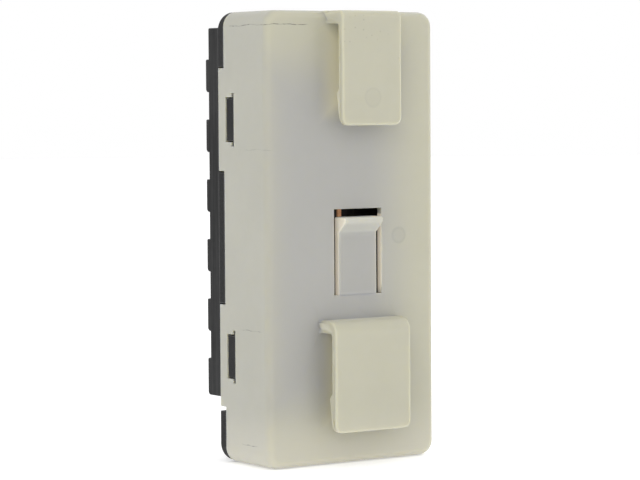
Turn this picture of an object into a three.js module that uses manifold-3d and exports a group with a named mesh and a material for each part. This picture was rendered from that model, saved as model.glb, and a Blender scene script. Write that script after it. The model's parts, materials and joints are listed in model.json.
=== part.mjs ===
// Slide dimmer module that hooks onto a slotted panel: a nylon mounting cover with two hooks and a
// sprung latch, a base frame with a banded heat sink, and a slide potentiometer with its knob.
//
// Design axes, in millimetres: X to the right and Y away from the viewer when the panel side is
// looked at (Y = 0 on the panel face), Z up from the lower end. The group at the end moves the
// model along Y, so that its bounding box stands centred on the origin.
import * as THREE from "three";
import { mergeVertices } from "three/addons/utils/BufferGeometryUtils.js";
import Module from "manifold-3d";

const wasm = await Module();
wasm.setup();

// ---------------------------------------------------------------- driving dimensions

const SEAT = 0.1; // gap between pieces that rest on each other
const CLEAR = 0.3; // gap round a piece set in an opening
const SCREW_CLEAR = 0.15; // gap round a screw's shank
const OVER = 1; // how far a cutting shape runs past what it cuts
const LAP = 0.2; // how far joined shapes run into each other

// Overall
const HEIGHT = 105;
const WIDTH = 47.4;
const COVER_DEPTH = 18.1;
const PLATE_THICK = 2.2;

// Mounting cover
const WALL = 1.3;
const FACE_THICK = 1.6;
const CORNER_R = 3.5;
const EDGE_R = 1.8;
const FACE_OFFSET = 1.6; // hooks and latch are centred this far to the right of mid-width
const RIB_DEPTH = 2.4;
const RIB_THICK = 1.2;
const UPPER_RIB_RISE = 8.4; // from the latch opening up to the upper rib
const LOWER_RIB_DROP = 1.8; // from the latch opening down to the lower rib's under side

// Ears and windows, measured to their centres from the nearer end
const EAR_FROM_END = 24.95;
const EAR_LENGTH = 24;
const WINDOW_LENGTH = 10.4;
const WINDOW_NEAR_Y = 13.9;
const WINDOW_DEPTH = 3.5;
const RELIEF_LENGTH = 12.3; // narrow cut along the window's panel side
const RELIEF_DEPTH = 1;
const LOW_NOTCH_GAP = 1; // space left below the lower ears in the plate

// Latch
const LATCH_ROOT_Z = 39.2;
const LATCH_LENGTH = 18.2;
const LATCH_WIDTH = 10.85;
const LATCH_SIDE_GAP = 1.25;
const LATCH_TOP_GAP = 1.8;
const LIP_REACH = 2.7;
const LIP_HEIGHT = 3.8;
const LIP_BLUNT = 1.3;
const LIP_R = 0.55;

// Hooks
const UPPER_HOOK = { width: 16.7, top: HEIGHT, arm: 3, reach: 6.1, finger: 1.9, length: 26.4,
  barb: 0.9, barbFromTip: 7.4, bend: 1.6 };
const LOWER_HOOK = { width: 21.3, top: 33.7, arm: 3, reach: 6.1, finger: 1.9, length: 25.8,
  barb: 1.1, barbFromTip: 7.9, bend: 3 };
const HOOK_FILLET = 0.8;
const HOOK_EDGE_R = 0.5; // along the sides, less than the tip's
const HOOK_FLARE = 0.9; // spread of the sides where they meet the face
const HOOK_CORNER_R = 1.8; // of the two lower corners
const TIP_R = 0.6; // of the tip's outer edge
const TIP_TAPER = 0.3;
const BARB_RISE = 1.2;

// Heat sink
const SINK_BOTTOM = 15.2;
const SINK_TOP_GAP = 3.6;
const SINK_INSET = 0.1;
const SINK_LOW = 4.2; // thickness between the bands
const BAND_PROUD = 1.2;
const BAND_PITCH = 14.03;
const BAND_HEIGHT = 7.7;
const FIRST_BAND = 8.75;
const BAND_TOP_R = 0.4;
const BAND_BOTTOM_R = 0.9;
const CHANNEL_WIDTH = 14;
const CHANNEL_END = 5;
const CHANNEL_FLOOR = 1.5; // material left under the channel
const CHANNEL_R = 2;

// Slider
const KNOB_LENGTH = 14;
const KNOB_WIDTH = 9;
const KNOB_HEIGHT = 8.8;
const KNOB_END_GAP = 1.1;
const KNOB_DISH = 1.6;
const KNOB_CROWN = 0.2; // pull of the end curves beyond the top
const KNOB_DRAFT = 0.4;
const KNOB_SHOULDER = 3; // from the top down to where the ends curve in
const KNOB_ROUND = 2.2; // length of the rounding at each end
const GRIP_PLACES = [2.2, 3.6]; // grooves either side of the index line
const GRIP_WIDTH = 0.5;
const STEM_GRIP = 4.4; // how far the stem stands up into the knob
const STEM_WIDTH = 2;
const STEM_LENGTH = 4;
const STEM_CLEAR = 0.6;
const CARRIAGE_LENGTH = 11;
const INDEX_WIDTH = 0.8;
const INDEX_DEPTH = 0.4;
const WEDGE_WIDTH = 1.4;
const WEDGE_EDGE = 0.6; // from the channel's side

// Slide potentiometer
const POT_WIDTH = 9;
const POT_HEIGHT = 6.5;
const POT_WALL = 0.6;
const POT_END = 4; // from the stem's slot to the end of the case
const CARD_THICK = 0.7;
const TRACK_THICK = 0.12;
const TRACK_WIDTH = 1.4;
const TRACK_OFFSET = 1.6;
const CARRIAGE_HEIGHT = 3.6;
const DUST_THICK = 0.6;
const DUST_WIDTH = 3.4;
const DUST_GAP = 0.15; // from the stem
const WIPER_THICK = 0.2;
const WIPER_INSET = 0.2; // from each edge of its track

// Circuit board
const BOARD_THICK = 1.6;
const BOARD_SIDE_GAP = 1;
const BOARD_END_GAP = 3.7;
const BUS_WIDTH = 1;
const BUS_THICK = 0.6;
const BUS_X = 2;
const BUS_STANDOFF = 1;
const BUS_BELOW_OPENING = 19;
const FUSE_BELOW_OPENING = 12;
const COMPONENT_GAP = 0.6;
const WIRE = 0.5;
const AXIAL_STANDOFF = 0.5;
const AXIAL_CAP = 1.3; // length of an axial component's wider end
const AXIAL_EASE = 0.45;
const AXIAL_WAIST = 0.86; // waist radius as a share of the end's

// Screws
const SINK_SCREW_R = 1.4;
const SINK_SCREW_HEAD_R = 2.3;
const SINK_SCREW_HEAD = 1.3;
const SINK_SCREW_INSET = 6.2;
const BOARD_SCREW_R = 1.1;
const BOARD_SCREW_HEAD_R = 2;
const BOARD_SCREW_HEAD = 1.1;
const BOARD_SCREW_BITE = 4.5; // length of shank beyond the board
const BOARD_SCREW_FROM_END = 15;
const BOSS_WALL = 1.6;
const DRIVE_WIDTH = 0.6;
const DRIVE_DEPTH = 0.7;

// Terminals
const TERMINAL_BOTTOM = 2.2;
const TERMINAL_TOP_GAP = 1.2;
const TERMINAL_PITCH = 10;
const TERMINAL_COUNT = 3;
const TERMINAL_WALL = 1;
const ENTRY_WIDTH = 5.8;
const ENTRY_HEIGHT = 4.5;
const CLAMP_LENGTH = 4.4;
const TERMINAL_SCREW_R = 1.4;
const TERMINAL_HEAD_R = 2.2;
const TERMINAL_HEAD_SUNK = 0.2;
const PIN_SIDE = 1.2;
const CLAMP_WALL = 0.8;
const CLAMP_TOP = 1.1;
const SOLDER_STUB = 0.8; // how far pins and leads stand out of the board

// ---------------------------------------------------------------- derived places

const halfWidth = WIDTH / 2;
const innerHalf = halfWidth - WALL;
const plateNear = COVER_DEPTH + SEAT;
const plateFar = plateNear + PLATE_THICK;
const earCentres = [EAR_FROM_END, HEIGHT - EAR_FROM_END];
const openingBottom = LATCH_ROOT_Z;
const latchTop = LATCH_ROOT_Z + LATCH_LENGTH;
const openingTop = latchTop + LATCH_TOP_GAP;
const openingWidth = LATCH_WIDTH + 2 * LATCH_SIDE_GAP;

const sinkBack = plateFar + SEAT;
const sinkLow = sinkBack + SINK_LOW;
const sinkHigh = sinkLow + BAND_PROUD;
const sinkTop = HEIGHT - SINK_TOP_GAP;
const channelFloor = sinkBack + CHANNEL_FLOOR;
const channelBottom = SINK_BOTTOM + CHANNEL_END;
const channelTop = sinkTop - CHANNEL_END;

const slideStart = channelBottom + KNOB_END_GAP + KNOB_LENGTH / 2;
const slideTravel = channelTop - channelBottom - KNOB_LENGTH - 2 * KNOB_END_GAP;
const slotBottom = slideStart - STEM_LENGTH / 2 - STEM_CLEAR;
const slotTop = slideStart + slideTravel + STEM_LENGTH / 2 + STEM_CLEAR;
const slotHalf = STEM_WIDTH / 2 + STEM_CLEAR;
const knobBase = channelFloor + CLEAR;
const knobTop = knobBase + KNOB_HEIGHT;

const potFar = plateNear - CLEAR;
const potNear = potFar - POT_HEIGHT;
const potBottom = slotBottom - POT_END;
const potTop = slotTop + POT_END;
const boardFar = potNear - SEAT;
const boardNear = boardFar - BOARD_THICK;
const boardHalf = innerHalf - BOARD_SIDE_GAP;
const boardBottom = WALL + BOARD_END_GAP;
const boardTop = HEIGHT - WALL - BOARD_END_GAP;
const roomNear = FACE_THICK + RIB_DEPTH + CLEAR; // components stay beyond the cover's ribs
const componentBase = boardNear - SEAT;

const lipOuter = innerHalf - CLEAR;
const lipWall = 1.2;
const lipNear = WINDOW_NEAR_Y + RELIEF_DEPTH;

const terminalTop = SINK_BOTTOM - TERMINAL_TOP_GAP;
const terminalFloor = plateFar + SEAT + TERMINAL_WALL;
const terminalFar = terminalFloor + ENTRY_HEIGHT + TERMINAL_WALL;
const clampTop = terminalTop - TERMINAL_WALL - CLEAR;
const clampCentreZ = clampTop - CLAMP_LENGTH / 2;
const terminalXs = Array.from({ length: TERMINAL_COUNT },
  (_, i) => (i - (TERMINAL_COUNT - 1) / 2) * TERMINAL_PITCH);

const bands = [{ bottom: SINK_BOTTOM, top: SINK_BOTTOM + FIRST_BAND }];
while (bands.at(-1).top + BAND_PITCH < sinkTop - 1) {
  const top = bands.at(-1).top + BAND_PITCH;
  bands.push({ bottom: top - BAND_HEIGHT, top });
}
const sinkScrewZs = [
  (bands[0].top + bands[1].bottom) / 2,
  bands.at(-1).top + (bands[1].bottom - bands[0].top) / 2,
];
const mirrored = (x) => [-x, x];
const sinkScrews = sinkScrewZs.flatMap((z) =>
  mirrored(halfWidth - SINK_SCREW_INSET).map((x) => ({ x, z })));
const boardScrews = [BOARD_SCREW_FROM_END, HEIGHT - BOARD_SCREW_FROM_END].flatMap((z) =>
  mirrored(halfWidth - SINK_SCREW_INSET).map((x) => ({ x, z })));

// ---------------------------------------------------------------- materials

const finish = (color, roughness, metalness = 0) =>
  new THREE.MeshStandardMaterial({ color, roughness, metalness });
const nylon = finish(0xdedccb, 0.5);
const blackPlastic = finish(0x2c2c2e, 0.55);
const blackAnodised = finish(0x353536, 0.5, 0.3);
const knobPlastic = finish(0x1d1d1f, 0.35);
const whitePaint = finish(0xe8e8e4, 0.5);
const steel = finish(0xb4b7ba, 0.35, 1);
const brass = finish(0xc9a24a, 0.35, 1);
const copper = finish(0xb5703c, 0.35, 1);
const tin = finish(0xc4c6c8, 0.4, 1);
const boardMask = finish(0x141a17, 0.45);
const phenolic = finish(0x7a5330, 0.7);
const carbon = finish(0x18181a, 0.8);
const ferrite = finish(0x3a3b3d, 0.7);
const enamelledWire = finish(0x9a4f22, 0.35, 0.6);
const capacitorFoil = finish(0x9d3327, 0.4);
const ceramicDisc = finish(0xb9863f, 0.6);
const resistorCoat = finish(0xcdb287, 0.5);
const silicone = finish(0x8d98a3, 0.8);
const felt = finish(0x202022, 0.95);
const epoxy = finish(0x1b1b1d, 0.6);

// ---------------------------------------------------------------- shape helpers

// A closed geometry as a solid that can be joined and cut. bend(positions) may move its vertices.
function solid(geometry, bend = () => {}) {
  const bare = geometry.clone();
  bare.deleteAttribute("normal");
  bare.deleteAttribute("uv");
  const merged = mergeVertices(bare, 1e-4);
  bend(merged.attributes.position);
  return new wasm.Manifold(new wasm.Mesh({
    numProp: 3,
    vertProperties: merged.attributes.position.array,
    triVerts: new Uint32Array(merged.index.array),
  }));
}

const join = (first, ...rest) => rest.reduce((sum, s) => sum.add(s), first);
const cut = (first, ...rest) => rest.reduce((sum, s) => sum.subtract(s), first);

// A block between two corners.
function block(x0, x1, y0, y1, z0, z1) {
  const g = new THREE.BoxGeometry(x1 - x0, y1 - y0, z1 - z0);
  return solid(g.translate((x0 + x1) / 2, (y0 + y1) / 2, (z0 + z1) / 2));
}

// A block centred on x and z, between two depths.
const centred = (x, z, width, length, y0, y1) =>
  block(x - width / 2, x + width / 2, y0, y1, z - length / 2, z + length / 2);

// A cylinder along Y between two depths.
function pillar(x, z, radius, y0, y1, sides = 24) {
  const g = new THREE.CylinderGeometry(radius, radius, y1 - y0, sides);
  return solid(g.translate(x, (y0 + y1) / 2, z));
}

// A rectangle with round corners, r being one radius or { bottom, top }.
function roundedRect(x0, x1, z0, z1, r) {
  const low = r.bottom ?? r;
  const high = r.top ?? r;
  const s = new THREE.Shape();
  s.moveTo(x0 + low, z0);
  s.lineTo(x1 - low, z0);
  if (low) s.absarc(x1 - low, z0 + low, low, -Math.PI / 2, 0);
  s.lineTo(x1, z1 - high);
  if (high) s.absarc(x1 - high, z1 - high, high, 0, Math.PI / 2);
  s.lineTo(x0 + high, z1);
  if (high) s.absarc(x0 + high, z1 - high, high, Math.PI / 2, Math.PI);
  s.lineTo(x0, z0 + low);
  if (low) s.absarc(x0 + low, z0 + low, low, Math.PI, 1.5 * Math.PI);
  return s;
}

// A shape drawn in X and Z, carried along Y from y0 to y1.
function alongY(shape, y0, y1, options = {}) {
  const g = new THREE.ExtrudeGeometry(shape,
    { depth: y1 - y0, bevelEnabled: false, curveSegments: 6, ...options });
  return solid(g.rotateX(Math.PI / 2).translate(0, y1, 0));
}

// A profile drawn in Y and Z, carried along X from x0 to x1.
function sweptX(profile, x0, x1, options = {}) {
  const g = new THREE.ExtrudeGeometry(profile,
    { depth: x1 - x0, bevelEnabled: false, curveSegments: 5, ...options });
  return g.rotateX(Math.PI / 2).rotateZ(Math.PI / 2).translate(x0, 0, 0);
}

const alongX = (profile, x0, x1, options) => solid(sweptX(profile, x0, x1, options));

// The same with the edges round each end rounded to radius r.
const softX = (profile, x0, x1, r) => sweptX(profile, x0 + r, x1 - r,
  { bevelEnabled: true, bevelThickness: r, bevelSize: r, bevelOffset: -r, bevelSegments: 3 });

// Carries a path on to a point in equal steps, so that the straight stretch can be bent.
function stepTo(path, y, z, steps) {
  const from = path.currentPoint.clone();
  for (let i = 1; i <= steps; i++) {
    path.lineTo(from.x + ((y - from.x) * i) / steps, from.y + ((z - from.y) * i) / steps);
  }
}

// How far a quarter round of radius r stands off its wall, at a distance from the wall's foot.
function roundOff(r, distance) {
  const left = Math.min(Math.max(r - distance, 0), r);
  return r - Math.sqrt(r * r - left * left);
}

// A slot with round ends along Z, cut along Y.
const slot = (x, half, z0, z1, y0, y1) =>
  alongY(roundedRect(x - half, x + half, z0, z1, half * 0.98), y0, y1);

// A rounded tray: a prism of the outline whose end at y0 has its edge rounded to radius r.
function softFront(x0, x1, z0, z1, corner, r, y0, y1) {
  const g = new THREE.ExtrudeGeometry(roundedRect(x0, x1, z0, z1, corner), {
    depth: y1 - y0,
    bevelThickness: r,
    bevelSize: r,
    bevelOffset: -r,
    bevelSegments: 5,
    curveSegments: 8,
  });
  const whole = solid(g.rotateX(Math.PI / 2).translate(0, y1 + r, 0));
  const beyond = block(x0 - 1, x1 + 1, y1, y1 + 2 * r + 1, z0 - 1, z1 + 1);
  return whole.subtract(beyond);
}

// A body of revolution about an axis along Y, from (radius, depth) points.
function turned(x, z, points) {
  const g = new THREE.LatheGeometry(points.map(([r, y]) => new THREE.Vector2(r, y)), 32);
  return solid(g.translate(x, 0, z));
}

// ---------------------------------------------------------------- mounting cover

// A hook: its side profile is an arm out from the face, bent down into a finger with an inner
// barb. Its lower corners are drawn in to a radius, and its sides spread where they meet the face.
function hook({ width, top, arm, reach, finger, length, barb, barbFromTip, bend }) {
  const tip = top - length;
  const inner = -reach + finger;
  const under = top - arm;
  const cornerTop = tip + HOOK_CORNER_R;
  const taperAt = (z) => inner - TIP_TAPER + ((z - tip) / barbFromTip) * (barb + TIP_TAPER);
  const p = new THREE.Shape();
  p.moveTo(FACE_THICK, top);
  p.lineTo(0, top);
  stepTo(p, -HOOK_FLARE, top, 4);
  p.lineTo(-reach + bend, top);
  p.absarc(-reach + bend, top - bend, bend, Math.PI / 2, Math.PI);
  p.lineTo(-reach, cornerTop);
  stepTo(p, -reach, tip + TIP_R, 4);
  p.absarc(-reach + TIP_R, tip + TIP_R, TIP_R, Math.PI, 1.5 * Math.PI);
  p.lineTo(inner - TIP_TAPER, tip);
  p.lineTo(taperAt(tip + TIP_R), tip + TIP_R);
  stepTo(p, taperAt(cornerTop), cornerTop, 3);
  p.lineTo(inner + barb, tip + barbFromTip);
  p.lineTo(inner, tip + barbFromTip + BARB_RISE);
  p.lineTo(inner, under - HOOK_FILLET);
  p.absarc(inner + HOOK_FILLET, under - HOOK_FILLET, HOOK_FILLET, Math.PI, Math.PI / 2, true);
  p.lineTo(-HOOK_FLARE, under);
  stepTo(p, 0, under, 4);
  p.lineTo(FACE_THICK, under);
  const straight = softX(p, FACE_OFFSET - width / 2, FACE_OFFSET + width / 2, HOOK_EDGE_R);
  return solid(straight, (at) => {
    for (let i = 0; i < at.count; i++) {
      const fromMiddle = at.getX(i) - FACE_OFFSET;
      const spread = roundOff(HOOK_FLARE, -at.getY(i)) - roundOff(HOOK_CORNER_R, at.getZ(i) - tip);
      at.setX(i, at.getX(i) + Math.sign(fromMiddle) * spread);
    }
  });
}

function mountingCover() {
  const shell = softFront(-halfWidth, halfWidth, 0, HEIGHT, CORNER_R, EDGE_R, 0, COVER_DEPTH);
  const hollow = alongY(
    roundedRect(-innerHalf, innerHalf, WALL, HEIGHT - WALL, CORNER_R - WALL),
    FACE_THICK, COVER_DEPTH + 1);
  const ribs = [openingTop + UPPER_RIB_RISE, openingBottom - LOWER_RIB_DROP].map((z) =>
    block(-innerHalf - LAP, innerHalf + LAP, FACE_THICK - LAP, FACE_THICK + RIB_DEPTH,
      z, z + RIB_THICK));
  const ears = earCentres.flatMap((z) => mirrored(halfWidth - WALL / 2).map((x) =>
    centred(x, z, WALL, EAR_LENGTH, COVER_DEPTH - 1, plateFar)));
  const windows = earCentres.flatMap((z) => mirrored(halfWidth - WALL / 2).flatMap((x) => [
    centred(x, z, WALL + 1, WINDOW_LENGTH, WINDOW_NEAR_Y, WINDOW_NEAR_Y + WINDOW_DEPTH),
    centred(x, z, WALL + 1, RELIEF_LENGTH, WINDOW_NEAR_Y, WINDOW_NEAR_Y + RELIEF_DEPTH),
  ]));
  const opening = block(FACE_OFFSET - openingWidth / 2, FACE_OFFSET + openingWidth / 2,
    -1, FACE_THICK + 1, openingBottom, openingTop);
  const body = join(shell.subtract(hollow), ...ribs, ...ears);
  return join(cut(body, ...windows, opening), hook(UPPER_HOOK), hook(LOWER_HOOK));
}

function latchTongue() {
  const root = LATCH_ROOT_Z + CLEAR;
  const p = new THREE.Shape();
  p.moveTo(0, root);
  p.lineTo(0, latchTop - LIP_HEIGHT);
  p.lineTo(-LIP_REACH, latchTop - LIP_BLUNT);
  p.lineTo(-LIP_REACH, latchTop - LIP_R);
  p.absarc(-LIP_REACH + LIP_R, latchTop - LIP_R, LIP_R, Math.PI, Math.PI / 2, true);
  p.lineTo(FACE_THICK, latchTop);
  p.lineTo(FACE_THICK, root);
  const x0 = FACE_OFFSET - LATCH_WIDTH / 2;
  return alongX(p, x0, x0 + LATCH_WIDTH);
}

// ---------------------------------------------------------------- base frame

function baseFrame() {
  const plate = alongY(roundedRect(-halfWidth, halfWidth, 0, HEIGHT, CORNER_R + 0.8),
    plateNear, plateFar, { curveSegments: 8 });
  const lip = cut(
    block(-lipOuter, lipOuter, lipNear, plateNear + LAP, WALL + CLEAR, HEIGHT - WALL - CLEAR),
    block(-lipOuter + lipWall, lipOuter - lipWall, lipNear - 1, plateNear + 1,
      WALL + CLEAR + lipWall, HEIGHT - WALL - CLEAR - lipWall));
  const insideCover = alongY(roundedRect(-lipOuter, lipOuter, WALL + CLEAR,
    HEIGHT - WALL - CLEAR, CORNER_R - WALL), 0, plateNear + 1);
  const catches = earCentres.flatMap((z) => [-1, 1].map((side) =>
    join(
      centred(side * (lipOuter + WALL / 2), z, WALL + LAP, WINDOW_LENGTH - 2 * CLEAR,
        WINDOW_NEAR_Y + CLEAR, WINDOW_NEAR_Y + WINDOW_DEPTH - CLEAR),
      centred(side * (lipOuter + WALL / 2), z, WALL + LAP, RELIEF_LENGTH - 2 * CLEAR,
        WINDOW_NEAR_Y + CLEAR, lipNear - CLEAR),
    )));
  const bosses = sinkScrews.map(({ x, z }) =>
    pillar(x, z, SINK_SCREW_R + BOSS_WALL, potNear + 1, plateNear + LAP));
  const posts = boardScrews.map(({ x, z }) =>
    pillar(x, z, BOARD_SCREW_R + BOSS_WALL, boardFar + SEAT, plateNear + LAP));
  const earNotches = earCentres.flatMap((z, i) => [-1, 1].map((side) => {
    const low = z - EAR_LENGTH / 2 - (i === 0 ? LOW_NOTCH_GAP : CLEAR);
    const inner = side * lipOuter;
    const outer = side * (halfWidth + 1);
    return block(Math.min(inner, outer), Math.max(inner, outer), plateNear - 0.1, plateFar + 1,
      low, z + EAR_LENGTH / 2 + CLEAR);
  }));
  const screwHoles = [
    ...sinkScrews.map(({ x, z }) => pillar(x, z, SINK_SCREW_R + SCREW_CLEAR, potNear, plateFar + 1)),
    ...boardScrews.map(({ x, z }) =>
      pillar(x, z, BOARD_SCREW_R + SCREW_CLEAR, boardFar, plateNear - 0.6)),
  ];
  const stemSlot = slot(0, slotHalf, slotBottom, slotTop, plateNear - 1, plateFar + 1);
  const pinHoles = terminalXs.map((x) =>
    centred(x, clampCentreZ, PIN_SIDE + 2 * CLEAR, PIN_SIDE + 2 * CLEAR,
      plateNear - 1, plateFar + 1));
  const padWindow = centred(triac.x, triac.z, triac.padWidth, triac.padLength,
    plateNear - 1, plateFar + 1);
  const solidFrame = join(plate, join(lip, ...bosses, ...posts).intersect(insideCover), ...catches);
  return cut(solidFrame, ...earNotches, ...screwHoles, stemSlot, ...pinHoles, padWindow);
}

// ---------------------------------------------------------------- heat sink

// The side profile: a flat back, and raised bands with a crisp upper and a softer lower edge.
function sinkProfile() {
  const p = new THREE.Shape();
  p.moveTo(sinkBack, SINK_BOTTOM);
  for (const { bottom, top } of bands) {
    if (bottom > SINK_BOTTOM) p.lineTo(sinkLow, bottom);
    p.lineTo(sinkHigh - BAND_BOTTOM_R, bottom);
    p.absarc(sinkHigh - BAND_BOTTOM_R, bottom + BAND_BOTTOM_R, BAND_BOTTOM_R, -Math.PI / 2, 0);
    p.lineTo(sinkHigh, top - BAND_TOP_R);
    p.absarc(sinkHigh - BAND_TOP_R, top - BAND_TOP_R, BAND_TOP_R, 0, Math.PI / 2);
    p.lineTo(sinkLow, top);
  }
  p.lineTo(sinkLow, sinkTop - BAND_TOP_R);
  p.absarc(sinkLow - BAND_TOP_R, sinkTop - BAND_TOP_R, BAND_TOP_R, 0, Math.PI / 2);
  p.lineTo(sinkBack, sinkTop);
  return p;
}

function ribbedHeatSink() {
  const half = halfWidth - SINK_INSET;
  const body = alongX(sinkProfile(), -half, half);
  const channel = alongY(
    roundedRect(-CHANNEL_WIDTH / 2, CHANNEL_WIDTH / 2, channelBottom, channelTop, CHANNEL_R),
    channelFloor, sinkHigh + 1);
  const stemSlot = slot(0, slotHalf, slotBottom, slotTop, sinkBack - 1, channelFloor + 1);
  const dustRecess = block(-dustHalf - CLEAR, dustHalf + CLEAR, sinkBack - 1,
    sinkBack + DUST_THICK + 2 * SEAT, potBottom, potTop);
  const holes = sinkScrews.map(({ x, z }) =>
    pillar(x, z, SINK_SCREW_R + SCREW_CLEAR, sinkBack - 1, sinkLow + 2));
  const triacHole = pillar(triac.x, triac.screwZ, triac.screwR + SCREW_CLEAR, sinkBack - 1, sinkLow - 0.8);
  return cut(body, channel, stemSlot, dustRecess, ...holes, triacHole);
}

const dustInner = STEM_WIDTH / 2 + DUST_GAP;
const dustHalf = dustInner + DUST_WIDTH;

function dustStrip(side) {
  const centre = side * (dustInner + DUST_WIDTH / 2);
  return block(centre - DUST_WIDTH / 2, centre + DUST_WIDTH / 2,
    sinkBack + SEAT, sinkBack + SEAT + DUST_THICK, potBottom + CLEAR, potTop - CLEAR);
}

// A long thin wedge beside the slot, wide at the bright end.
function levelWedge() {
  const x = CHANNEL_WIDTH / 2 - WEDGE_EDGE;
  const s = new THREE.Shape();
  s.moveTo(x, slideStart);
  s.lineTo(x, slideStart + slideTravel);
  s.lineTo(x - WEDGE_WIDTH, slideStart + slideTravel);
  s.lineTo(x - LAP, slideStart);
  return alongY(s, channelFloor + 0.05, channelFloor + 0.25);
}

// ---------------------------------------------------------------- slider

// The knob: a low block whose far side is dished for a fingertip, with ridges across the dish.
function sliderKnob() {
  const z0 = slideStart - KNOB_LENGTH / 2;
  const z1 = slideStart + KNOB_LENGTH / 2;
  const shoulder = knobTop - KNOB_SHOULDER;
  const p = new THREE.Shape();
  p.moveTo(knobBase, z0 + KNOB_DRAFT);
  p.lineTo(shoulder, z0);
  p.quadraticCurveTo(knobTop + KNOB_CROWN, z0, knobTop, z0 + KNOB_ROUND);
  p.quadraticCurveTo(knobTop - 2 * KNOB_DISH, slideStart, knobTop, z1 - KNOB_ROUND);
  p.quadraticCurveTo(knobTop + KNOB_CROWN, z1, shoulder, z1);
  p.lineTo(knobBase, z1 - KNOB_DRAFT);
  const body = alongX(p, -KNOB_WIDTH / 2, KNOB_WIDTH / 2, { curveSegments: 10 });
  const outline = roundedRect(-KNOB_WIDTH / 2, KNOB_WIDTH / 2, z0, z1, 1);
  const grooves = GRIP_PLACES.flatMap(mirrored).map((dz) =>
    centred(0, slideStart + dz, 2 * KNOB_WIDTH, GRIP_WIDTH,
      knobTop - KNOB_DISH - SEAT, knobTop + OVER));
  const socket = centred(0, slideStart, STEM_WIDTH + 0.3, STEM_LENGTH + 0.3,
    knobBase - OVER, knobBase + STEM_GRIP + LAP);
  const indexGroove = centred(0, slideStart, KNOB_WIDTH + 1, INDEX_WIDTH + 2 * SEAT,
    knobTop - KNOB_DISH - INDEX_DEPTH, knobTop + 1);
  return cut(body.intersect(alongY(outline, knobBase - 1, knobTop + 1)),
    ...grooves, socket, indexGroove);
}

const indexLine = () => centred(0, slideStart, KNOB_WIDTH - 0.6, INDEX_WIDTH,
  knobTop - KNOB_DISH - INDEX_DEPTH + SEAT, knobTop - KNOB_DISH + 0.1);

const carriageFar = potFar - POT_WALL - CLEAR;
const carriageNear = carriageFar - CARRIAGE_HEIGHT;

const sliderCarriage = () => join(
  centred(0, slideStart, POT_WIDTH - 2 * POT_WALL - 4 * CLEAR, CARRIAGE_LENGTH,
    carriageNear, carriageFar),
  centred(0, slideStart, STEM_WIDTH, STEM_LENGTH, carriageFar - LAP, knobBase + STEM_GRIP));

// A sprung contact: a thin bowed strip between the carriage and its track.
function wiper(side) {
  const low = trackFar + SEAT;
  const high = carriageNear - SEAT / 2;
  const half = CARRIAGE_LENGTH / 2 - 1;
  const p = new THREE.Shape();
  p.moveTo(high - WIPER_THICK, slideStart - half);
  p.quadraticCurveTo(2 * low - high + WIPER_THICK, slideStart, high - WIPER_THICK, slideStart + half);
  p.lineTo(high, slideStart + half);
  p.quadraticCurveTo(2 * (low + WIPER_THICK) - high, slideStart, high, slideStart - half);
  const x = side * TRACK_OFFSET;
  return alongX(p, x - TRACK_WIDTH / 2 + WIPER_INSET, x + TRACK_WIDTH / 2 - WIPER_INSET);
}

// ---------------------------------------------------------------- potentiometer

const trackFar = potNear + SEAT + CARD_THICK + 0.05 + TRACK_THICK;

const potCase = () => cut(
  block(-POT_WIDTH / 2, POT_WIDTH / 2, potNear, potFar, potBottom, potTop),
  block(-POT_WIDTH / 2 + POT_WALL, POT_WIDTH / 2 - POT_WALL, potNear - 1, potFar - POT_WALL,
    potBottom + POT_WALL, potTop - POT_WALL),
  slot(0, slotHalf, slotBottom, slotTop, potFar - POT_WALL - 1, potFar + 1));

const trackCard = () => block(-POT_WIDTH / 2 + POT_WALL + CLEAR, POT_WIDTH / 2 - POT_WALL - CLEAR,
  potNear + SEAT, potNear + SEAT + CARD_THICK,
  potBottom + POT_WALL + CLEAR, potTop - POT_WALL - CLEAR);

const track = (side) => block(
  side * TRACK_OFFSET - TRACK_WIDTH / 2, side * TRACK_OFFSET + TRACK_WIDTH / 2,
  trackFar - TRACK_THICK, trackFar, potBottom + 2, potTop - 2);

// ---------------------------------------------------------------- circuit board

// The triac lies flat on a silicone pad that reaches the heat sink through the base plate.
const triac = { width: 10, bodyLength: 9, bodyThick: 4.2, tabLength: 6.4, tabThick: 1.2,
  screwR: 1.4, padWidth: 11, padLength: 16.4, leadWidth: 0.8, leadThick: 0.5, leadPitch: 2.54 };
triac.x = -(lipOuter - lipWall - 1 - triac.padWidth / 2);
triac.z = (earCentres[0] + earCentres[1]) / 2;
triac.screwZ = triac.z + triac.padLength / 2 - 0.5 - triac.tabLength / 2;
const padFar = sinkBack - SEAT;
const padNear = plateNear - CLEAR;
const tabFar = padNear - SEAT;
const tabNear = tabFar - triac.tabThick;
const triacBodyTop = triac.z + triac.padLength / 2 - 0.5 - triac.tabLength - SEAT;

const thermalPad = () => cut(
  centred(triac.x, triac.z, triac.padWidth - 2 * CLEAR, triac.padLength - 2 * CLEAR,
    padNear, padFar),
  pillar(triac.x, triac.screwZ, triac.screwR + CLEAR, padNear - 1, padFar + 1));

const triacTab = () => cut(
  block(triac.x - triac.width / 2, triac.x + triac.width / 2, tabNear, tabFar,
    triacBodyTop + SEAT, triacBodyTop + SEAT + triac.tabLength),
  pillar(triac.x, triac.screwZ, triac.screwR + CLEAR, tabNear - 1, tabFar + 1));

const triacBody = () => block(triac.x - triac.width / 2, triac.x + triac.width / 2,
  tabFar - triac.bodyThick, tabFar, triacBodyTop - triac.bodyLength, triacBodyTop);

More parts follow.
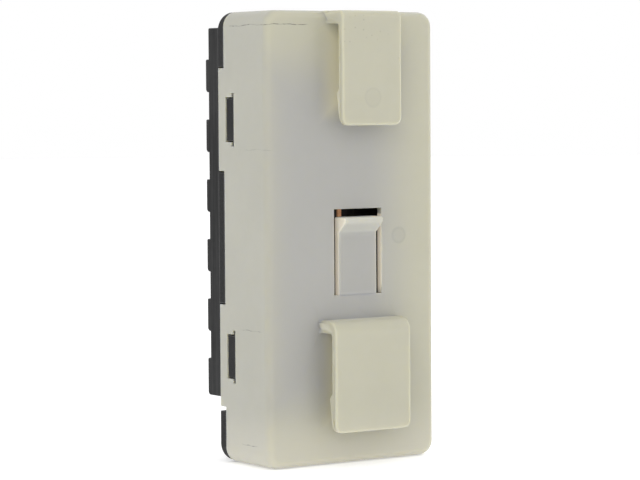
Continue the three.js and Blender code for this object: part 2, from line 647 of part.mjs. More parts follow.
function triacLead(i) {
  const x = triac.x + (i - 1) * triac.leadPitch;
  const y = tabFar - triac.bodyThick / 2;
  const top = triacBodyTop - triac.bodyLength - SEAT;
  const drop = 2.6 + (i === 1 ? 1.6 : 0);
  const half = triac.leadWidth / 2;
  return join(
    block(x - half, x + half, y, y + triac.leadThick, top - drop, top),
    block(x - half, x + half, boardNear - SOLDER_STUB, y + triac.leadThick,
      top - drop, top - drop + triac.leadThick));
}

function circuitBoard() {
  const board = alongY(roundedRect(-boardHalf, boardHalf, boardBottom, boardTop, 2),
    boardNear, boardFar);
  const screwHoles = boardScrews.map(({ x, z }) =>
    pillar(x, z, BOARD_SCREW_R + CLEAR, boardNear - 1, boardFar + 1));
  const pinHoles = terminalXs.map((x) => centred(x, clampCentreZ,
    PIN_SIDE + 2 * CLEAR, PIN_SIDE + 2 * CLEAR, boardNear - 1, boardFar + 1));
  const leadHoles = [0, 1, 2].map((i) => {
    const drop = 2.6 + (i === 1 ? 1.6 : 0);
    return centred(triac.x + (i - 1) * triac.leadPitch,
      triacBodyTop - triac.bodyLength - SEAT - drop + triac.leadThick / 2,
      triac.leadWidth + 2 * CLEAR, triac.leadThick + 2 * CLEAR, boardNear - 1, boardFar + 1);
  });
  return cut(board, ...screwHoles, ...pinHoles, ...leadHoles);
}

// A flat strip standing off the board on two turned-in feet.
function busStrip() {
  const far = componentBase;
  const bottom = openingBottom - BUS_BELOW_OPENING;
  const top = choke.z - choke.radius - COMPONENT_GAP;
  const x0 = BUS_X - BUS_WIDTH / 2;
  const x1 = BUS_X + BUS_WIDTH / 2;
  const near = far - BUS_STANDOFF - BUS_THICK;
  return join(
    block(x0, x1, near, near + BUS_THICK, bottom, top),
    block(x0, x1, near, far, bottom, bottom + BUS_THICK),
    block(x0, x1, near, far, top - BUS_THICK, top));
}

// ---------------------------------------------------------------- components on the board

const upperZ = (openingTop + boardTop) / 2;

// The tall components stand between the two columns of board screws.
const columnEdge = boardScrews[1].x - BOARD_SCREW_HEAD_R - COMPONENT_GAP;
const choke = { z: upperZ, radius: 7.6, spindle: 3.4, flange: 0.9 };
choke.x = -columnEdge + choke.radius;

function chokeCore() {
  const { x, z, radius, spindle, flange } = choke;
  const near = roomNear;
  const far = componentBase;
  return turned(x, z, [[0, near], [radius, near], [radius, near + flange],
    [spindle, near + flange], [spindle, far - flange], [radius, far - flange],
    [radius, far], [0, far]]);
}

function chokeWinding() {
  const { x, z, radius, spindle, flange } = choke;
  const near = roomNear + flange + SEAT;
  const far = componentBase - flange - SEAT;
  const inner = spindle + CLEAR;
  const outer = radius - 0.6;
  return turned(x, z, [[inner, near], [outer, near], [outer, far], [inner, far], [inner, near]]);
}

const film = { width: 8.6, length: 15, cornerR: 1 };
const filmCapacitor = () => alongY(
  roundedRect(-columnEdge, -columnEdge + film.width, terminalTop + COMPONENT_GAP,
    terminalTop + COMPONENT_GAP + film.length, film.cornerR),
  roomNear, componentBase);

const disc = { radius: 2.1, thick: 2.4, fromBoardTop: 6 };
function timingCapacitor() {
  const p = new THREE.Shape();
  p.absarc(componentBase - disc.radius, boardTop - disc.fromBoardTop, disc.radius,
    0, 2 * Math.PI);
  return alongX(p, columnEdge - disc.thick, columnEdge, { curveSegments: 12 });
}

const resistor = { length: 6.4, radius: 1.15, lead: 2 };
resistor.z = choke.z - choke.radius - COMPONENT_GAP - resistor.length / 2 - resistor.lead;
const outerColumn = columnEdge - resistor.radius;
const innerColumn = outerColumn - 2 * resistor.radius - 2 * COMPONENT_GAP;

// A two-ended component lying along Z, its leads bent down to the board at each end.
function axialComponent(x, z, length, radius) {
  const y = componentBase - radius - AXIAL_STANDOFF;
  const body = solid(new THREE.LatheGeometry([
    [0, -length / 2], [radius * 0.9, -length / 2], [radius, -length / 2 + AXIAL_EASE],
    [radius, -length / 2 + AXIAL_CAP], [radius * AXIAL_WAIST, -length / 2 + AXIAL_CAP + AXIAL_EASE],
    [radius * AXIAL_WAIST, length / 2 - AXIAL_CAP - AXIAL_EASE], [radius, length / 2 - AXIAL_CAP],
    [radius, length / 2 - AXIAL_EASE], [radius * 0.9, length / 2], [0, length / 2],
  ].map(([r, h]) => new THREE.Vector2(r, h)), 16).rotateX(Math.PI / 2).translate(x, y, z));
  const reach = length / 2 + resistor.lead;
  const half = WIRE / 2;
  const bar = block(x - half, x + half, y - half, y + half, z - reach, z + reach);
  const legs = [-1, 1].map((end) => centred(x, z + end * (reach - half), WIRE, WIRE,
    y - half, componentBase));
  return join(body, bar, ...legs);
}

// ---------------------------------------------------------------- terminals

function terminalBlock() {
  const half = (TERMINAL_COUNT * TERMINAL_PITCH) / 2 + 0.4;
  const base = plateFar + SEAT;
  const body = alongY(roundedRect(-half, half, TERMINAL_BOTTOM, terminalTop, 0.6),
    base, terminalFar);
  const cuts = terminalXs.flatMap((x) => [
    block(x - ENTRY_WIDTH / 2, x + ENTRY_WIDTH / 2, terminalFloor, terminalFloor + ENTRY_HEIGHT,
      TERMINAL_BOTTOM - 1, terminalTop - TERMINAL_WALL),
    pillar(x, clampCentreZ, TERMINAL_HEAD_R + CLEAR, terminalFar - TERMINAL_WALL - 1,
      terminalFar + 1),
    centred(x, clampCentreZ, PIN_SIDE + 2 * CLEAR, PIN_SIDE + 2 * CLEAR,
      base - 1, terminalFloor + 1),
  ]);
  return cut(body, ...cuts);
}

const clampNear = terminalFloor + CLEAR;
const clampFar = terminalFloor + ENTRY_HEIGHT - CLEAR;

const terminalClamp = (x) => cut(
  centred(x, clampCentreZ, ENTRY_WIDTH - 2 * CLEAR, CLAMP_LENGTH, clampNear, clampFar),
  centred(x, clampCentreZ, ENTRY_WIDTH - 2 * CLEAR - 2 * CLAMP_WALL, CLAMP_LENGTH + 2 * OVER,
    clampNear + CLAMP_WALL, clampFar - CLAMP_TOP),
  pillar(x, clampCentreZ, TERMINAL_SCREW_R + SCREW_CLEAR, clampFar - 2, clampFar + 1));

const terminalPin = (x) => centred(x, clampCentreZ, PIN_SIDE, PIN_SIDE,
  boardNear - SOLDER_STUB, clampNear - SEAT);

// A screw along Y whose head, slotted across, faces away from the tip.
function screw(x, z, tip, headNear, headFar, shankR, headR) {
  const away = Math.sign(headFar - headNear);
  const span = (a, b) => [Math.min(a, b), Math.max(a, b)];
  const shank = pillar(x, z, shankR, ...span(tip, headNear + 0.1 * away), 16);
  const head = pillar(x, z, headR, ...span(headNear, headFar));
  const drive = centred(x, z, 2 * (headR + OVER), DRIVE_WIDTH,
    ...span(headFar - DRIVE_DEPTH * away, headFar + away));
  return join(shank, head).subtract(drive);
}

// ---------------------------------------------------------------- assembly

const model = new THREE.Group();

function add(name, made, material) {
  const data = made.getMesh();
  const g = new THREE.BufferGeometry();
  g.setAttribute("position", new THREE.BufferAttribute(data.vertProperties, 3));
  g.setIndex(new THREE.BufferAttribute(data.triVerts, 1));
  const flat = g.toNonIndexed();
  flat.computeVertexNormals();
  const mesh = new THREE.Mesh(flat, material);
  mesh.name = name;
  model.add(mesh);
}

add("mounting_cover", mountingCover(), nylon);
add("latch_tongue", latchTongue(), nylon.clone());
add("base_frame", baseFrame(), blackPlastic);
add("ribbed_heat_sink", ribbedHeatSink(), blackAnodised);
sinkScrews.forEach(({ x, z }, i) => add(`heat_sink_screw_${i + 1}`,
  screw(x, z, potNear + 2, sinkLow + SEAT, sinkLow + SEAT + SINK_SCREW_HEAD,
    SINK_SCREW_R, SINK_SCREW_HEAD_R), steel));

add("slider_knob", sliderKnob(), knobPlastic);
add("knob_index_line", indexLine(), whitePaint);
add("slider_carriage", sliderCarriage(), blackPlastic);
add("wiper_left", wiper(-1), brass);
add("wiper_right", wiper(1), brass);
add("pot_case", potCase(), steel);
add("pot_track_card", trackCard(), phenolic);
add("carbon_track", track(-1), carbon);
add("collector_rail", track(1), tin);
add("dust_strip_left", dustStrip(-1), felt);
add("dust_strip_right", dustStrip(1), felt);
add("level_wedge_inlay", levelWedge(), whitePaint);

add("circuit_board", circuitBoard(), boardMask);
boardScrews.forEach(({ x, z }, i) => add(`board_screw_${i + 1}`,
  screw(x, z, boardFar + BOARD_SCREW_BITE, boardNear - SEAT,
    boardNear - SEAT - BOARD_SCREW_HEAD, BOARD_SCREW_R, BOARD_SCREW_HEAD_R), steel));
add("copper_bus_strip", busStrip(), copper);
add("thermal_pad", thermalPad(), silicone);
add("triac_tab", triacTab(), tin);
add("triac_body", triacBody(), epoxy);
[0, 1, 2].forEach((i) => add(`triac_lead_${i + 1}`, triacLead(i), tin));
add("triac_screw", screw(triac.x, triac.screwZ, sinkLow - 1.4, tabNear - SEAT,
  tabNear - SEAT - 1.3, triac.screwR, 2.6), steel);
add("choke_core", chokeCore(), ferrite);
add("choke_winding", chokeWinding(), enamelledWire);
add("film_capacitor", filmCapacitor(), capacitorFoil);
add("timing_capacitor", timingCapacitor(), ceramicDisc);
add("diac", axialComponent(innerColumn, choke.z + COMPONENT_GAP, 4.4, 1), capacitorFoil);
add("resistor_1", axialComponent(innerColumn, resistor.z, resistor.length, resistor.radius),
  resistorCoat);
add("resistor_2", axialComponent(outerColumn, resistor.z, resistor.length, resistor.radius),
  resistorCoat);
add("thermal_fuse", axialComponent(outerColumn - 1, openingBottom - FUSE_BELOW_OPENING, 9, 1.9), tin);

add("terminal_block", terminalBlock(), blackPlastic);
terminalXs.forEach((x, i) => {
  add(`terminal_clamp_${i + 1}`, terminalClamp(x), brass);
  add(`terminal_screw_${i + 1}`, screw(x, clampCentreZ, clampFar - 1.6, clampFar + SEAT,
    terminalFar - TERMINAL_HEAD_SUNK, TERMINAL_SCREW_R, TERMINAL_HEAD_R), steel);
  add(`terminal_pin_${i + 1}`, terminalPin(x), tin);
});

const nearest = -Math.max(UPPER_HOOK.reach, LOWER_HOOK.reach);
model.position.y = -(nearest + knobTop) / 2;

export default model;
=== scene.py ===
"""Slide dimmer module for panel mounting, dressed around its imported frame."""
import json
import math

import bmesh
import bpy
import numpy as np
from mathutils import Matrix, Vector


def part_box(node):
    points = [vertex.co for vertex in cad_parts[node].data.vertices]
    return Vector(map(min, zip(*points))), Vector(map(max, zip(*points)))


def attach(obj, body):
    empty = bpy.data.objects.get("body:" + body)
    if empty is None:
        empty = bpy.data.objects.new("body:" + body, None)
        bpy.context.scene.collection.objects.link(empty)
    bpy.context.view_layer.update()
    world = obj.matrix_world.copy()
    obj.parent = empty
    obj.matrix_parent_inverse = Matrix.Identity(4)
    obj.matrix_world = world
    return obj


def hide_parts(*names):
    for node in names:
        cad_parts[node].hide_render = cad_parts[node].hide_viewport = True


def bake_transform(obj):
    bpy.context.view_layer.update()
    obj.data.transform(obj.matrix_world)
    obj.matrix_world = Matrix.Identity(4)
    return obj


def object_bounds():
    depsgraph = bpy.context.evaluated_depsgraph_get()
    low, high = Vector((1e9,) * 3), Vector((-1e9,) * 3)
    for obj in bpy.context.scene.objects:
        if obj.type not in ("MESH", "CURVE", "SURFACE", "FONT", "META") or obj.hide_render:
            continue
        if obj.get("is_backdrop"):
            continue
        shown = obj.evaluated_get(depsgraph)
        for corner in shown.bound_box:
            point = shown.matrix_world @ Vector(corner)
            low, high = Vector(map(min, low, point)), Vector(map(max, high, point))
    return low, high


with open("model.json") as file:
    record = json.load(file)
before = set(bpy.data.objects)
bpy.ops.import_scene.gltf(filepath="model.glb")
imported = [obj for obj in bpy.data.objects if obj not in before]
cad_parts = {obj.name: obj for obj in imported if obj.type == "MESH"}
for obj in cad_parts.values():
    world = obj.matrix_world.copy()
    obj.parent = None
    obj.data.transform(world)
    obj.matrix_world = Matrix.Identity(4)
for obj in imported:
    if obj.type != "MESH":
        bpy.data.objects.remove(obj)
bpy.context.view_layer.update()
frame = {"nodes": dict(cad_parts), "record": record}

bl_info = {
    "name": "Slide Dimmer Module",
    "version": (1, 0, 0),
    "blender": (4, 5, 0),
    "location": "3D View > Sidebar > Dimmer",
    "description": "Builds the looks of a hook-on slide dimmer module around its frame",
    "category": "Object",
}

MM = 0.001
BODY_OF = {node: body for body, nodes in frame["record"]["behaviour"]["bodies"].items()
           for node in nodes}
FACE_FROM_BASE = 20.4 * MM  # from the panel face to the base frame's far side
SQUARE_CORNER = math.radians(60)  # a kept edge at least this sharp is shaded sharp
DUST = (0.3, 0.29, 0.27)
SPECK = (0.16, 0.15, 0.1)
# (x, z, radius as a share of the setting, strength): one on the panel face, one on a hook
EJECTOR_MARKS = (
    (13.3 * MM, 52.7 * MM, 1.0, 0.16),
    (1.7 * MM, 85.0 * MM, 1.2, 0.08),
)
HOOK_SHADES = (102.0 * MM, 30.7 * MM)  # top of the shaded face behind each hook
HOOK_REACH = 22 * MM
CAMERA_TARGET = Vector((-2.14, -2.3, 51.6)) * MM
LAMPS = (  # (name, place from the module's middle in metres, size, power)
    ("Key", (-0.5, -0.55, 0.45), 0.5, 0.9),
    ("Rim", (0.6, 0.3, 0.5), 0.5, 0.6),
)


# ------------------------------------------------------------------ settings


def length(name, description, millimetres):
    return bpy.props.FloatProperty(name=name, description=description, default=millimetres * MM,
                                   min=0, precision=5, unit="LENGTH")


def angle(name, description, degrees):
    return bpy.props.FloatProperty(name=name, description=description,
                                   default=math.radians(degrees), subtype="ANGLE")


def number(name, description, default):
    return bpy.props.FloatProperty(name=name, description=description, default=default)


def colour(name, description, default):
    return bpy.props.FloatVectorProperty(name=name, description=description, default=default,
                                         size=3, min=0, max=1, subtype="COLOR")


class DimmerCoverSettings(bpy.types.PropertyGroup):
    """Nylon cover and latch tongue"""
    edge: length("Edge", "Rounding of the cover's cut edges", 0.22)
    tongue_edge: length("Tongue edge", "Rounding of the tongue's edges", 0.5)
    root_lap: length("Root lap", "How far the tongue's root runs into the cover", 0.6)
    bend: length("Bend", "Length of tongue that bends when it is pressed", 5)
    nylon: colour("Nylon", "Colour of the thick parts", (0.50, 0.488, 0.392))
    nylon_thin: colour("Nylon, thin", "Colour of the wide face, where it is thin",
                       (0.408, 0.404, 0.382))
    # painted shade: the side walls get a darker colour than the thick nylon, for the light that
    # falls less on them
    nylon_side_shade: colour("Nylon, side", "Colour of the side walls", (0.43, 0.425, 0.372))
    # painted light: the lower end is coloured lighter to make up for the shade the floor casts
    # there
    nylon_low_lit: colour("Nylon, low", "Colour of the lower end, painted lighter", (0.60, 0.58, 0.5))
    nylon_lip: colour("Nylon, lip", "Colour of the latch's lip", (0.485, 0.483, 0.44))
    nylon_shaded: colour("Nylon, shaded", "Colour where light only comes through nylon",
                         (0.57, 0.545, 0.43))
    seep: colour("Seep", "Light that seeps through behind the hooks", (0.11, 0.103, 0.068))
    seam: colour("Seam", "Light inside the nylon where the tongue joins the cover",
                 (0.04, 0.04, 0.037))
    glow: colour("Glow", "Light that soaks out of the walls round the latch",
                 (0.28, 0.24, 0.18))
    soaked: colour("Soaked in", "How far each colour of light travels inside", (1.0, 0.92, 0.62))
    depth: length("Depth of light", "How far light travels inside the nylon", 2)
    ejector_radius: length("Ejector mark", "Radius of the ejector pin's mark", 1.75)


class DimmerFrameSettings(bpy.types.PropertyGroup):
    """Base frame, heat sink and terminal block"""
    base_edge: length("Base edge", "Rounding of the base frame's edges", 0.15)
    sink_edge: length("Sink edge", "Rounding of the heat sink's edges", 0.16)
    black: colour("Black plastic", "Colour of the base frame and terminals",
                  (0.007, 0.007, 0.0073))
    anodised: colour("Anodised", "Colour of the heat sink", (0.008, 0.008, 0.0083))
    # the edge colour is partly rubbed black and partly a painted highlight along the bevels
    worn: colour("Worn and highlit edge", "Colour where the black is rubbed thin and painted lighter as a highlight", (0.05, 0.05, 0.051))


class DimmerSliderSettings(bpy.types.PropertyGroup):
    """Knob, its track and its marks"""
    dish: length("Dish", "Depth of the fingertip's dish", 1.6)
    end_round: length("End rounding", "Length of the rounding at each end", 2.2)
    end_drop: length("End drop", "Height of the rounding at each end", 3)
    side_round: length("Side rounding", "Radius of the knob's upright corners", 1)
    groove_depth: length("Groove depth", "Depth of a grip groove", 0.4)
    groove_half: length("Groove", "Half width of a grip groove", 0.2)
    groove_near: length("Inner groove", "Place of the inner grip grooves", 2.2)
    groove_far: length("Outer groove", "Place of the outer grip grooves", 3.6)
    black: colour("Knob", "Colour of the knob", (0.012, 0.012, 0.013))


class DimmerScrewSettings(bpy.types.PropertyGroup):
    """Screws"""
    pitch: length("Pitch", "Rise of the thread in one turn", 0.7)
    thread: length("Thread", "Depth of the thread", 0.14)
    recess_width: length("Recess width", "Width of an arm of the cross recess", 0.62)
    recess_reach: number("Recess reach", "Length of an arm as a share of the head's radius", 0.62)
    recess_depth: length("Recess depth", "Depth of the cross recess or slot", 0.8)
    slot_width: length("Slot", "Width of a terminal screw's slot", 0.6)
    zinc: colour("Zinc", "Colour of the plating", (0.55, 0.56, 0.57))


class DimmerCircuitSettings(bpy.types.PropertyGroup):
    """Circuit board and what stands on it"""
    edge: length("Edge", "Rounding of small cut edges", 0.08)
    wire: length("Wire", "Diameter of a component's lead", 0.5)
    lead: length("Lead", "Straight lead beyond each end of a component", 2)
    winding_wire: length("Winding wire", "Diameter of the choke's wire", 0.55)
    solder: length("Solder", "Radius of a solder joint on the board", 1.05)
    copper: colour("Copper", "Colour of bare copper", (0.84, 0.44, 0.26))
    mask: colour("Solder mask", "Colour of the board", (0.011, 0.012, 0.01))


class DimmerStageSettings(bpy.types.PropertyGroup):
    """Floor, light and camera"""
    azimuth: angle("Azimuth", "Turn of the camera round the module", -34.48)
    elevation: angle("Elevation", "Height of the camera above the horizon", 3.14)
    roll: angle("Roll", "Turn of the camera about its own axis", -0.344)
    distance: length("Distance", "From the camera to its target", 621.5)
    lens: number("Lens", "Focal length in millimetres", 148.72)
    floor: colour("Floor", "Colour of the floor", (0.92, 0.92, 0.92))


# ------------------------------------------------------------------ mesh helpers


def placed(name, data):
    """A new object in the scene."""
    made = bpy.data.objects.new(name, data)
    bpy.context.scene.collection.objects.link(made)
    return made


def link(name, mesh, body, replaced=(), finishes=()):
    """Puts a finished mesh into the scene, on its body and in place of its CAD nodes."""
    piece = placed(name, mesh)
    for finish in finishes:
        mesh.materials.append(FINISH[finish])
    if body:
        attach(piece, body)
    if replaced:
        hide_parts(*replaced)
    return piece


def skins_mesh(name, skins):
    """One mesh from closed skins. A skin is an array of rings (rings, points round, 3): quads join
    each ring to the next, then a flat cap closes each end, or the last ring joins the first where
    the skin comes with the word "loop". A skin whose volume comes out negative is turned round."""
    points, faces, start = [], [], 0
    for skin in skins:
        rings, looped = skin if isinstance(skin, tuple) else (skin, None)
        count, around = rings.shape[:2]
        index = start + np.arange(count * around).reshape(count, around)
        following = np.roll(index, -1, axis=0) if looped else index[1:]
        first = index if looped else index[:-1]
        quads = np.stack([first, np.roll(first, -1, axis=1), np.roll(following, -1, axis=1),
                          following], axis=-1).reshape(-1, 4)
        flat = rings.reshape(-1, 3)
        middle = flat.mean(axis=0)
        a, b, c, d = (flat[quads[:, k] - start] - middle for k in range(4))
        volume = np.sum(a * np.cross(b, c)) + np.sum(a * np.cross(c, d))
        made = quads.tolist()
        if not looped:
            made += [index[0][::-1].tolist(), index[-1].tolist()]
        faces += [face[::-1] for face in made] if volume < 0 else made
        points.append(flat)
        start += len(flat)
    mesh = bpy.data.meshes.new(name)
    mesh.from_pydata(np.concatenate(points).tolist(), [], faces)
    mesh.polygons.foreach_set("use_smooth", np.ones(len(mesh.polygons), bool))
    mesh.update()
    return mesh


def panel_face():
    """Where the panel face lies in Y."""
    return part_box("base_frame")[1].y - FACE_FROM_BASE


def smoothstep(values):
    held = np.clip(values, 0, 1)
    return held * held * (3 - 2 * held)


def rounded_loop(half_wide, half_high, power, around):
    """A closed superellipse |x/a|^n + |y/b|^n = 1, as (points, 2), or rows of it for arrays."""
    turn = np.linspace(0, 2 * np.pi, around, endpoint=False)
    x = np.sign(np.cos(turn)) * np.abs(np.cos(turn)) ** (2 / power)
    y = np.sign(np.sin(turn)) * np.abs(np.sin(turn)) ** (2 / power)
    return np.stack([np.multiply.outer(half_wide, x), np.multiply.outer(half_high, y)], axis=-1)


def turned_rings(along, radius, centre, axis, around=48):
    """A body of revolution: ring i is a circle of radius[i] at along[i] on the given axis."""
    turn = np.linspace(0, 2 * np.pi, around, endpoint=False)
    rings = np.zeros((len(along), around, 3))
    first, second = [k for k in range(3) if k != axis]
    rings[..., axis] = np.asarray(along)[:, None]
    rings[..., first] = np.multiply.outer(radius, np.cos(turn))
    rings[..., second] = np.multiply.outer(radius, np.sin(turn))
    return rings + np.asarray(centre)


def bent_path(corners, radius, steps=6):
    """A path through corner points whose turns are quadratic curves that start radius before
    each corner and end radius after it."""
    corners = [np.asarray(corner, float) for corner in corners]
    path = [corners[0][None]]
    share = np.linspace(0, 1, steps)[:, None]
    for before, corner, after in zip(corners, corners[1:], corners[2:]):
        start = corner + radius * (before - corner) / np.linalg.norm(before - corner)
        end = corner + radius * (after - corner) / np.linalg.norm(after - corner)
        path.append((1 - share) ** 2 * start + 2 * share * (1 - share) * corner + share**2 * end)
    return np.concatenate([*path, corners[-1][None]])


def tube_rings(path, radius, side, around=12):
    """A circle carried along a flat path; side is the direction square to the path's plane."""
    tangent = np.gradient(path, axis=0)
    tangent /= np.linalg.norm(tangent, axis=1, keepdims=True)
    across = np.cross(tangent, np.asarray(side, float))
    turn = np.linspace(0, 2 * np.pi, around, endpoint=False)
    offset = (np.cos(turn)[None, :, None] * across[:, None]
              + np.sin(turn)[None, :, None] * np.asarray(side, float))
    return path[:, None] + radius * offset


def lens_rings(low, high, axis, power, count=40, around=64):
    """A dipped body that fills a box: superellipse sections across the axis, their size falling
    off to the ends as (1 - |t|^n)^(1/n)."""
    low, high = np.asarray(low), np.asarray(high)
    middle, half = (low + high) / 2, (high - low) / 2
    share = np.sin(np.linspace(-0.497 * np.pi, 0.497 * np.pi, count))
    size = (1 - np.abs(share) ** power) ** (1 / power)
    first, second = [k for k in range(3) if k != axis]
    loop = rounded_loop(size * half[first], size * half[second], power, around)
    rings = np.zeros((count, around, 3))
    rings[..., axis] = middle[axis] + share[:, None] * half[axis]
    rings[..., first] = middle[first] + loop[..., 0]
    rings[..., second] = middle[second] + loop[..., 1]
    return rings


def open_places(values, step):
    """Places that part each wide gap between the given values into stretches under step."""
    values = np.unique(np.round(values, 6))
    places = []
    for low, high in zip(values, values[1:]):
        parts = math.ceil((high - low) / step)
        places += [low + (high - low) * k / parts for k in range(1, parts)]
    return places


def merged_copy(node, steps=(0, 0, 0)):
    """A copy of a CAD node's mesh with its triangles joined into whole flat faces, which planes a
    step apart then part again into small ones."""
    bm = bmesh.new()
    bm.from_mesh(frame["nodes"][node].data)
    bmesh.ops.remove_doubles(bm, verts=bm.verts, dist=0.002 * MM)
    bmesh.ops.dissolve_limit(bm, angle_limit=math.radians(0.6), use_dissolve_boundaries=False,
                             verts=bm.verts, edges=bm.edges)
    for axis, step in enumerate(steps):
        if step:
            normal = Vector([float(k == axis) for k in range(3)])
            for place in open_places([v.co[axis] for v in bm.verts], step):
                bmesh.ops.bisect_plane(bm, geom=[*bm.verts, *bm.edges, *bm.faces],
                                       dist=1e-7, plane_co=normal * place, plane_no=normal)
    mesh = bpy.data.meshes.new(node)
    bm.to_mesh(mesh)
    bm.free()
    mesh.polygons.foreach_set("use_smooth", np.ones(len(mesh.polygons), bool))
    return mesh


def soften(piece, width, segments=3, limit=32.0, edge_slot=0, keep_sharp=lambda middle: False):
    """Rounds the outer edges sharper than the limit, apart from those whose middle is to stay
    sharp."""
    mesh = piece.data
    bm = bmesh.new()
    bm.from_mesh(mesh)
    weight = bm.edges.layers.float.new("bevel_weight_edge")
    for edge in bm.edges:
        if len(edge.link_faces) == 2 and edge.calc_face_angle_signed() > math.radians(limit):
            middle = (edge.verts[0].co + edge.verts[1].co) / 2
            kept = keep_sharp(middle)
            edge[weight] = 0.0 if kept else 1.0
            edge.smooth = not (kept and edge.calc_face_angle() > SQUARE_CORNER)
    bm.to_mesh(mesh)
    bm.free()
    bevel = piece.modifiers.new("Rounded edges", "BEVEL")
    bevel.width = width
    bevel.segments = segments
    bevel.limit_method = "WEIGHT"
    bevel.use_clamp_overlap = False
    bevel.miter_outer = "MITER_ARC"
    bevel.material = edge_slot
    shading = piece.modifiers.new("Face shading", "WEIGHTED_NORMAL")
    shading.keep_sharp = True
    return piece


def refined(node, name, slot_name, width, *finishes, segments=2, edge_slot=0, steps=(0, 0, 0)):
    """A CAD node with its edges rounded, which stands in for that node."""
    piece = link(name, merged_copy(node, steps), BODY_OF[node], (node,), finishes)
    return soften(piece, width, segments, edge_slot=edge_slot)


# ------------------------------------------------------------------ node helpers


def add_node(tree, kind, inputs=None, **settings):
    """A new node with its settings, and with inputs that are values or other nodes' outputs."""
    node = tree.nodes.new(kind)
    for key, value in settings.items():
        setattr(node, key, value)
    for socket, value in (inputs or {}).items():
        if isinstance(value, bpy.types.NodeSocket):
            tree.links.new(value, node.inputs[socket])
        else:
            node.inputs[socket].default_value = value
    return node


def calculate(tree, operation, first, second=0.0, third=0.0, clamp=False):
    node = add_node(tree, "ShaderNodeMath", {0: first, 1: second, 2: third},
                    operation=operation, use_clamp=clamp)
    return node.outputs[0]


def times(tree, first, second):
    return calculate(tree, "MULTIPLY", first, second)


def split(tree, vector):
    """A vector's X, Y and Z."""
    return add_node(tree, "ShaderNodeSeparateXYZ", {0: vector}).outputs


def facing(tree):
    """The direction a face looks in, as X, Y and Z."""
    return split(tree, add_node(tree, "ShaderNodeNewGeometry").outputs["Normal"])


def soft_box(tree, border, centre, half_size):
    """1 inside a box and 0 outside it, fading over its border."""
    return use_group(tree, "Soft box", Border=border, Centre=Vector(centre),
                     Half_size=Vector(half_size))["Inside"]


def mixed(tree, factor, first, second):
    """A colour between two colours."""
    node = add_node(tree, "ShaderNodeMix", {0: factor, 6: rgba(first), 7: rgba(second)},
                    data_type="RGBA")
    return node.outputs[2]


def rgba(value):
    return value if isinstance(value, bpy.types.NodeSocket) else (*tuple(value)[:3], 1)


def remapped(tree, value, from_low, from_high, to_low, to_high):
    node = add_node(tree, "ShaderNodeMapRange", {0: value, 1: from_low, 2: from_high, 3: to_low,
                                                 4: to_high}, interpolation_type="SMOOTHSTEP")
    return node.outputs[0]


def object_place(tree):
    return add_node(tree, "ShaderNodeTexCoord").outputs["Object"]


def noise(tree, place, scale, detail=3.0, roughness=0.5):
    node = add_node(tree, "ShaderNodeTexNoise", {"Vector": place, "Scale": scale,
                                                 "Detail": detail, "Roughness": roughness})
    return node.outputs[0]


def new_group(name, inputs, outputs):
    """A shader node group with named sockets, given as (name, kind, default) and (name, kind)."""
    group = bpy.data.node_groups.new(name, "ShaderNodeTree")
    for label, kind, default in inputs:
        socket = group.interface.new_socket(label, in_out="INPUT", socket_type="NodeSocket" + kind)
        socket.default_value = default
    for label, kind in outputs:
        group.interface.new_socket(label, in_out="OUTPUT", socket_type="NodeSocket" + kind)
    entry = group.nodes.new("NodeGroupInput").outputs
    leave = group.nodes.new("NodeGroupOutput").inputs
    return group, entry, leave


def use_group(tree, name, **inputs):
    """Places a node group; an input's name has its spaces written as underscores."""
    node = add_node(tree, "ShaderNodeGroup", node_tree=bpy.data.node_groups[name])
    for key, value in inputs.items():
        socket = node.inputs[key.replace("_", " ")]
        if isinstance(value, bpy.types.NodeSocket):
            tree.links.new(value, socket)
        else:
            socket.default_value = value
    return node.outputs


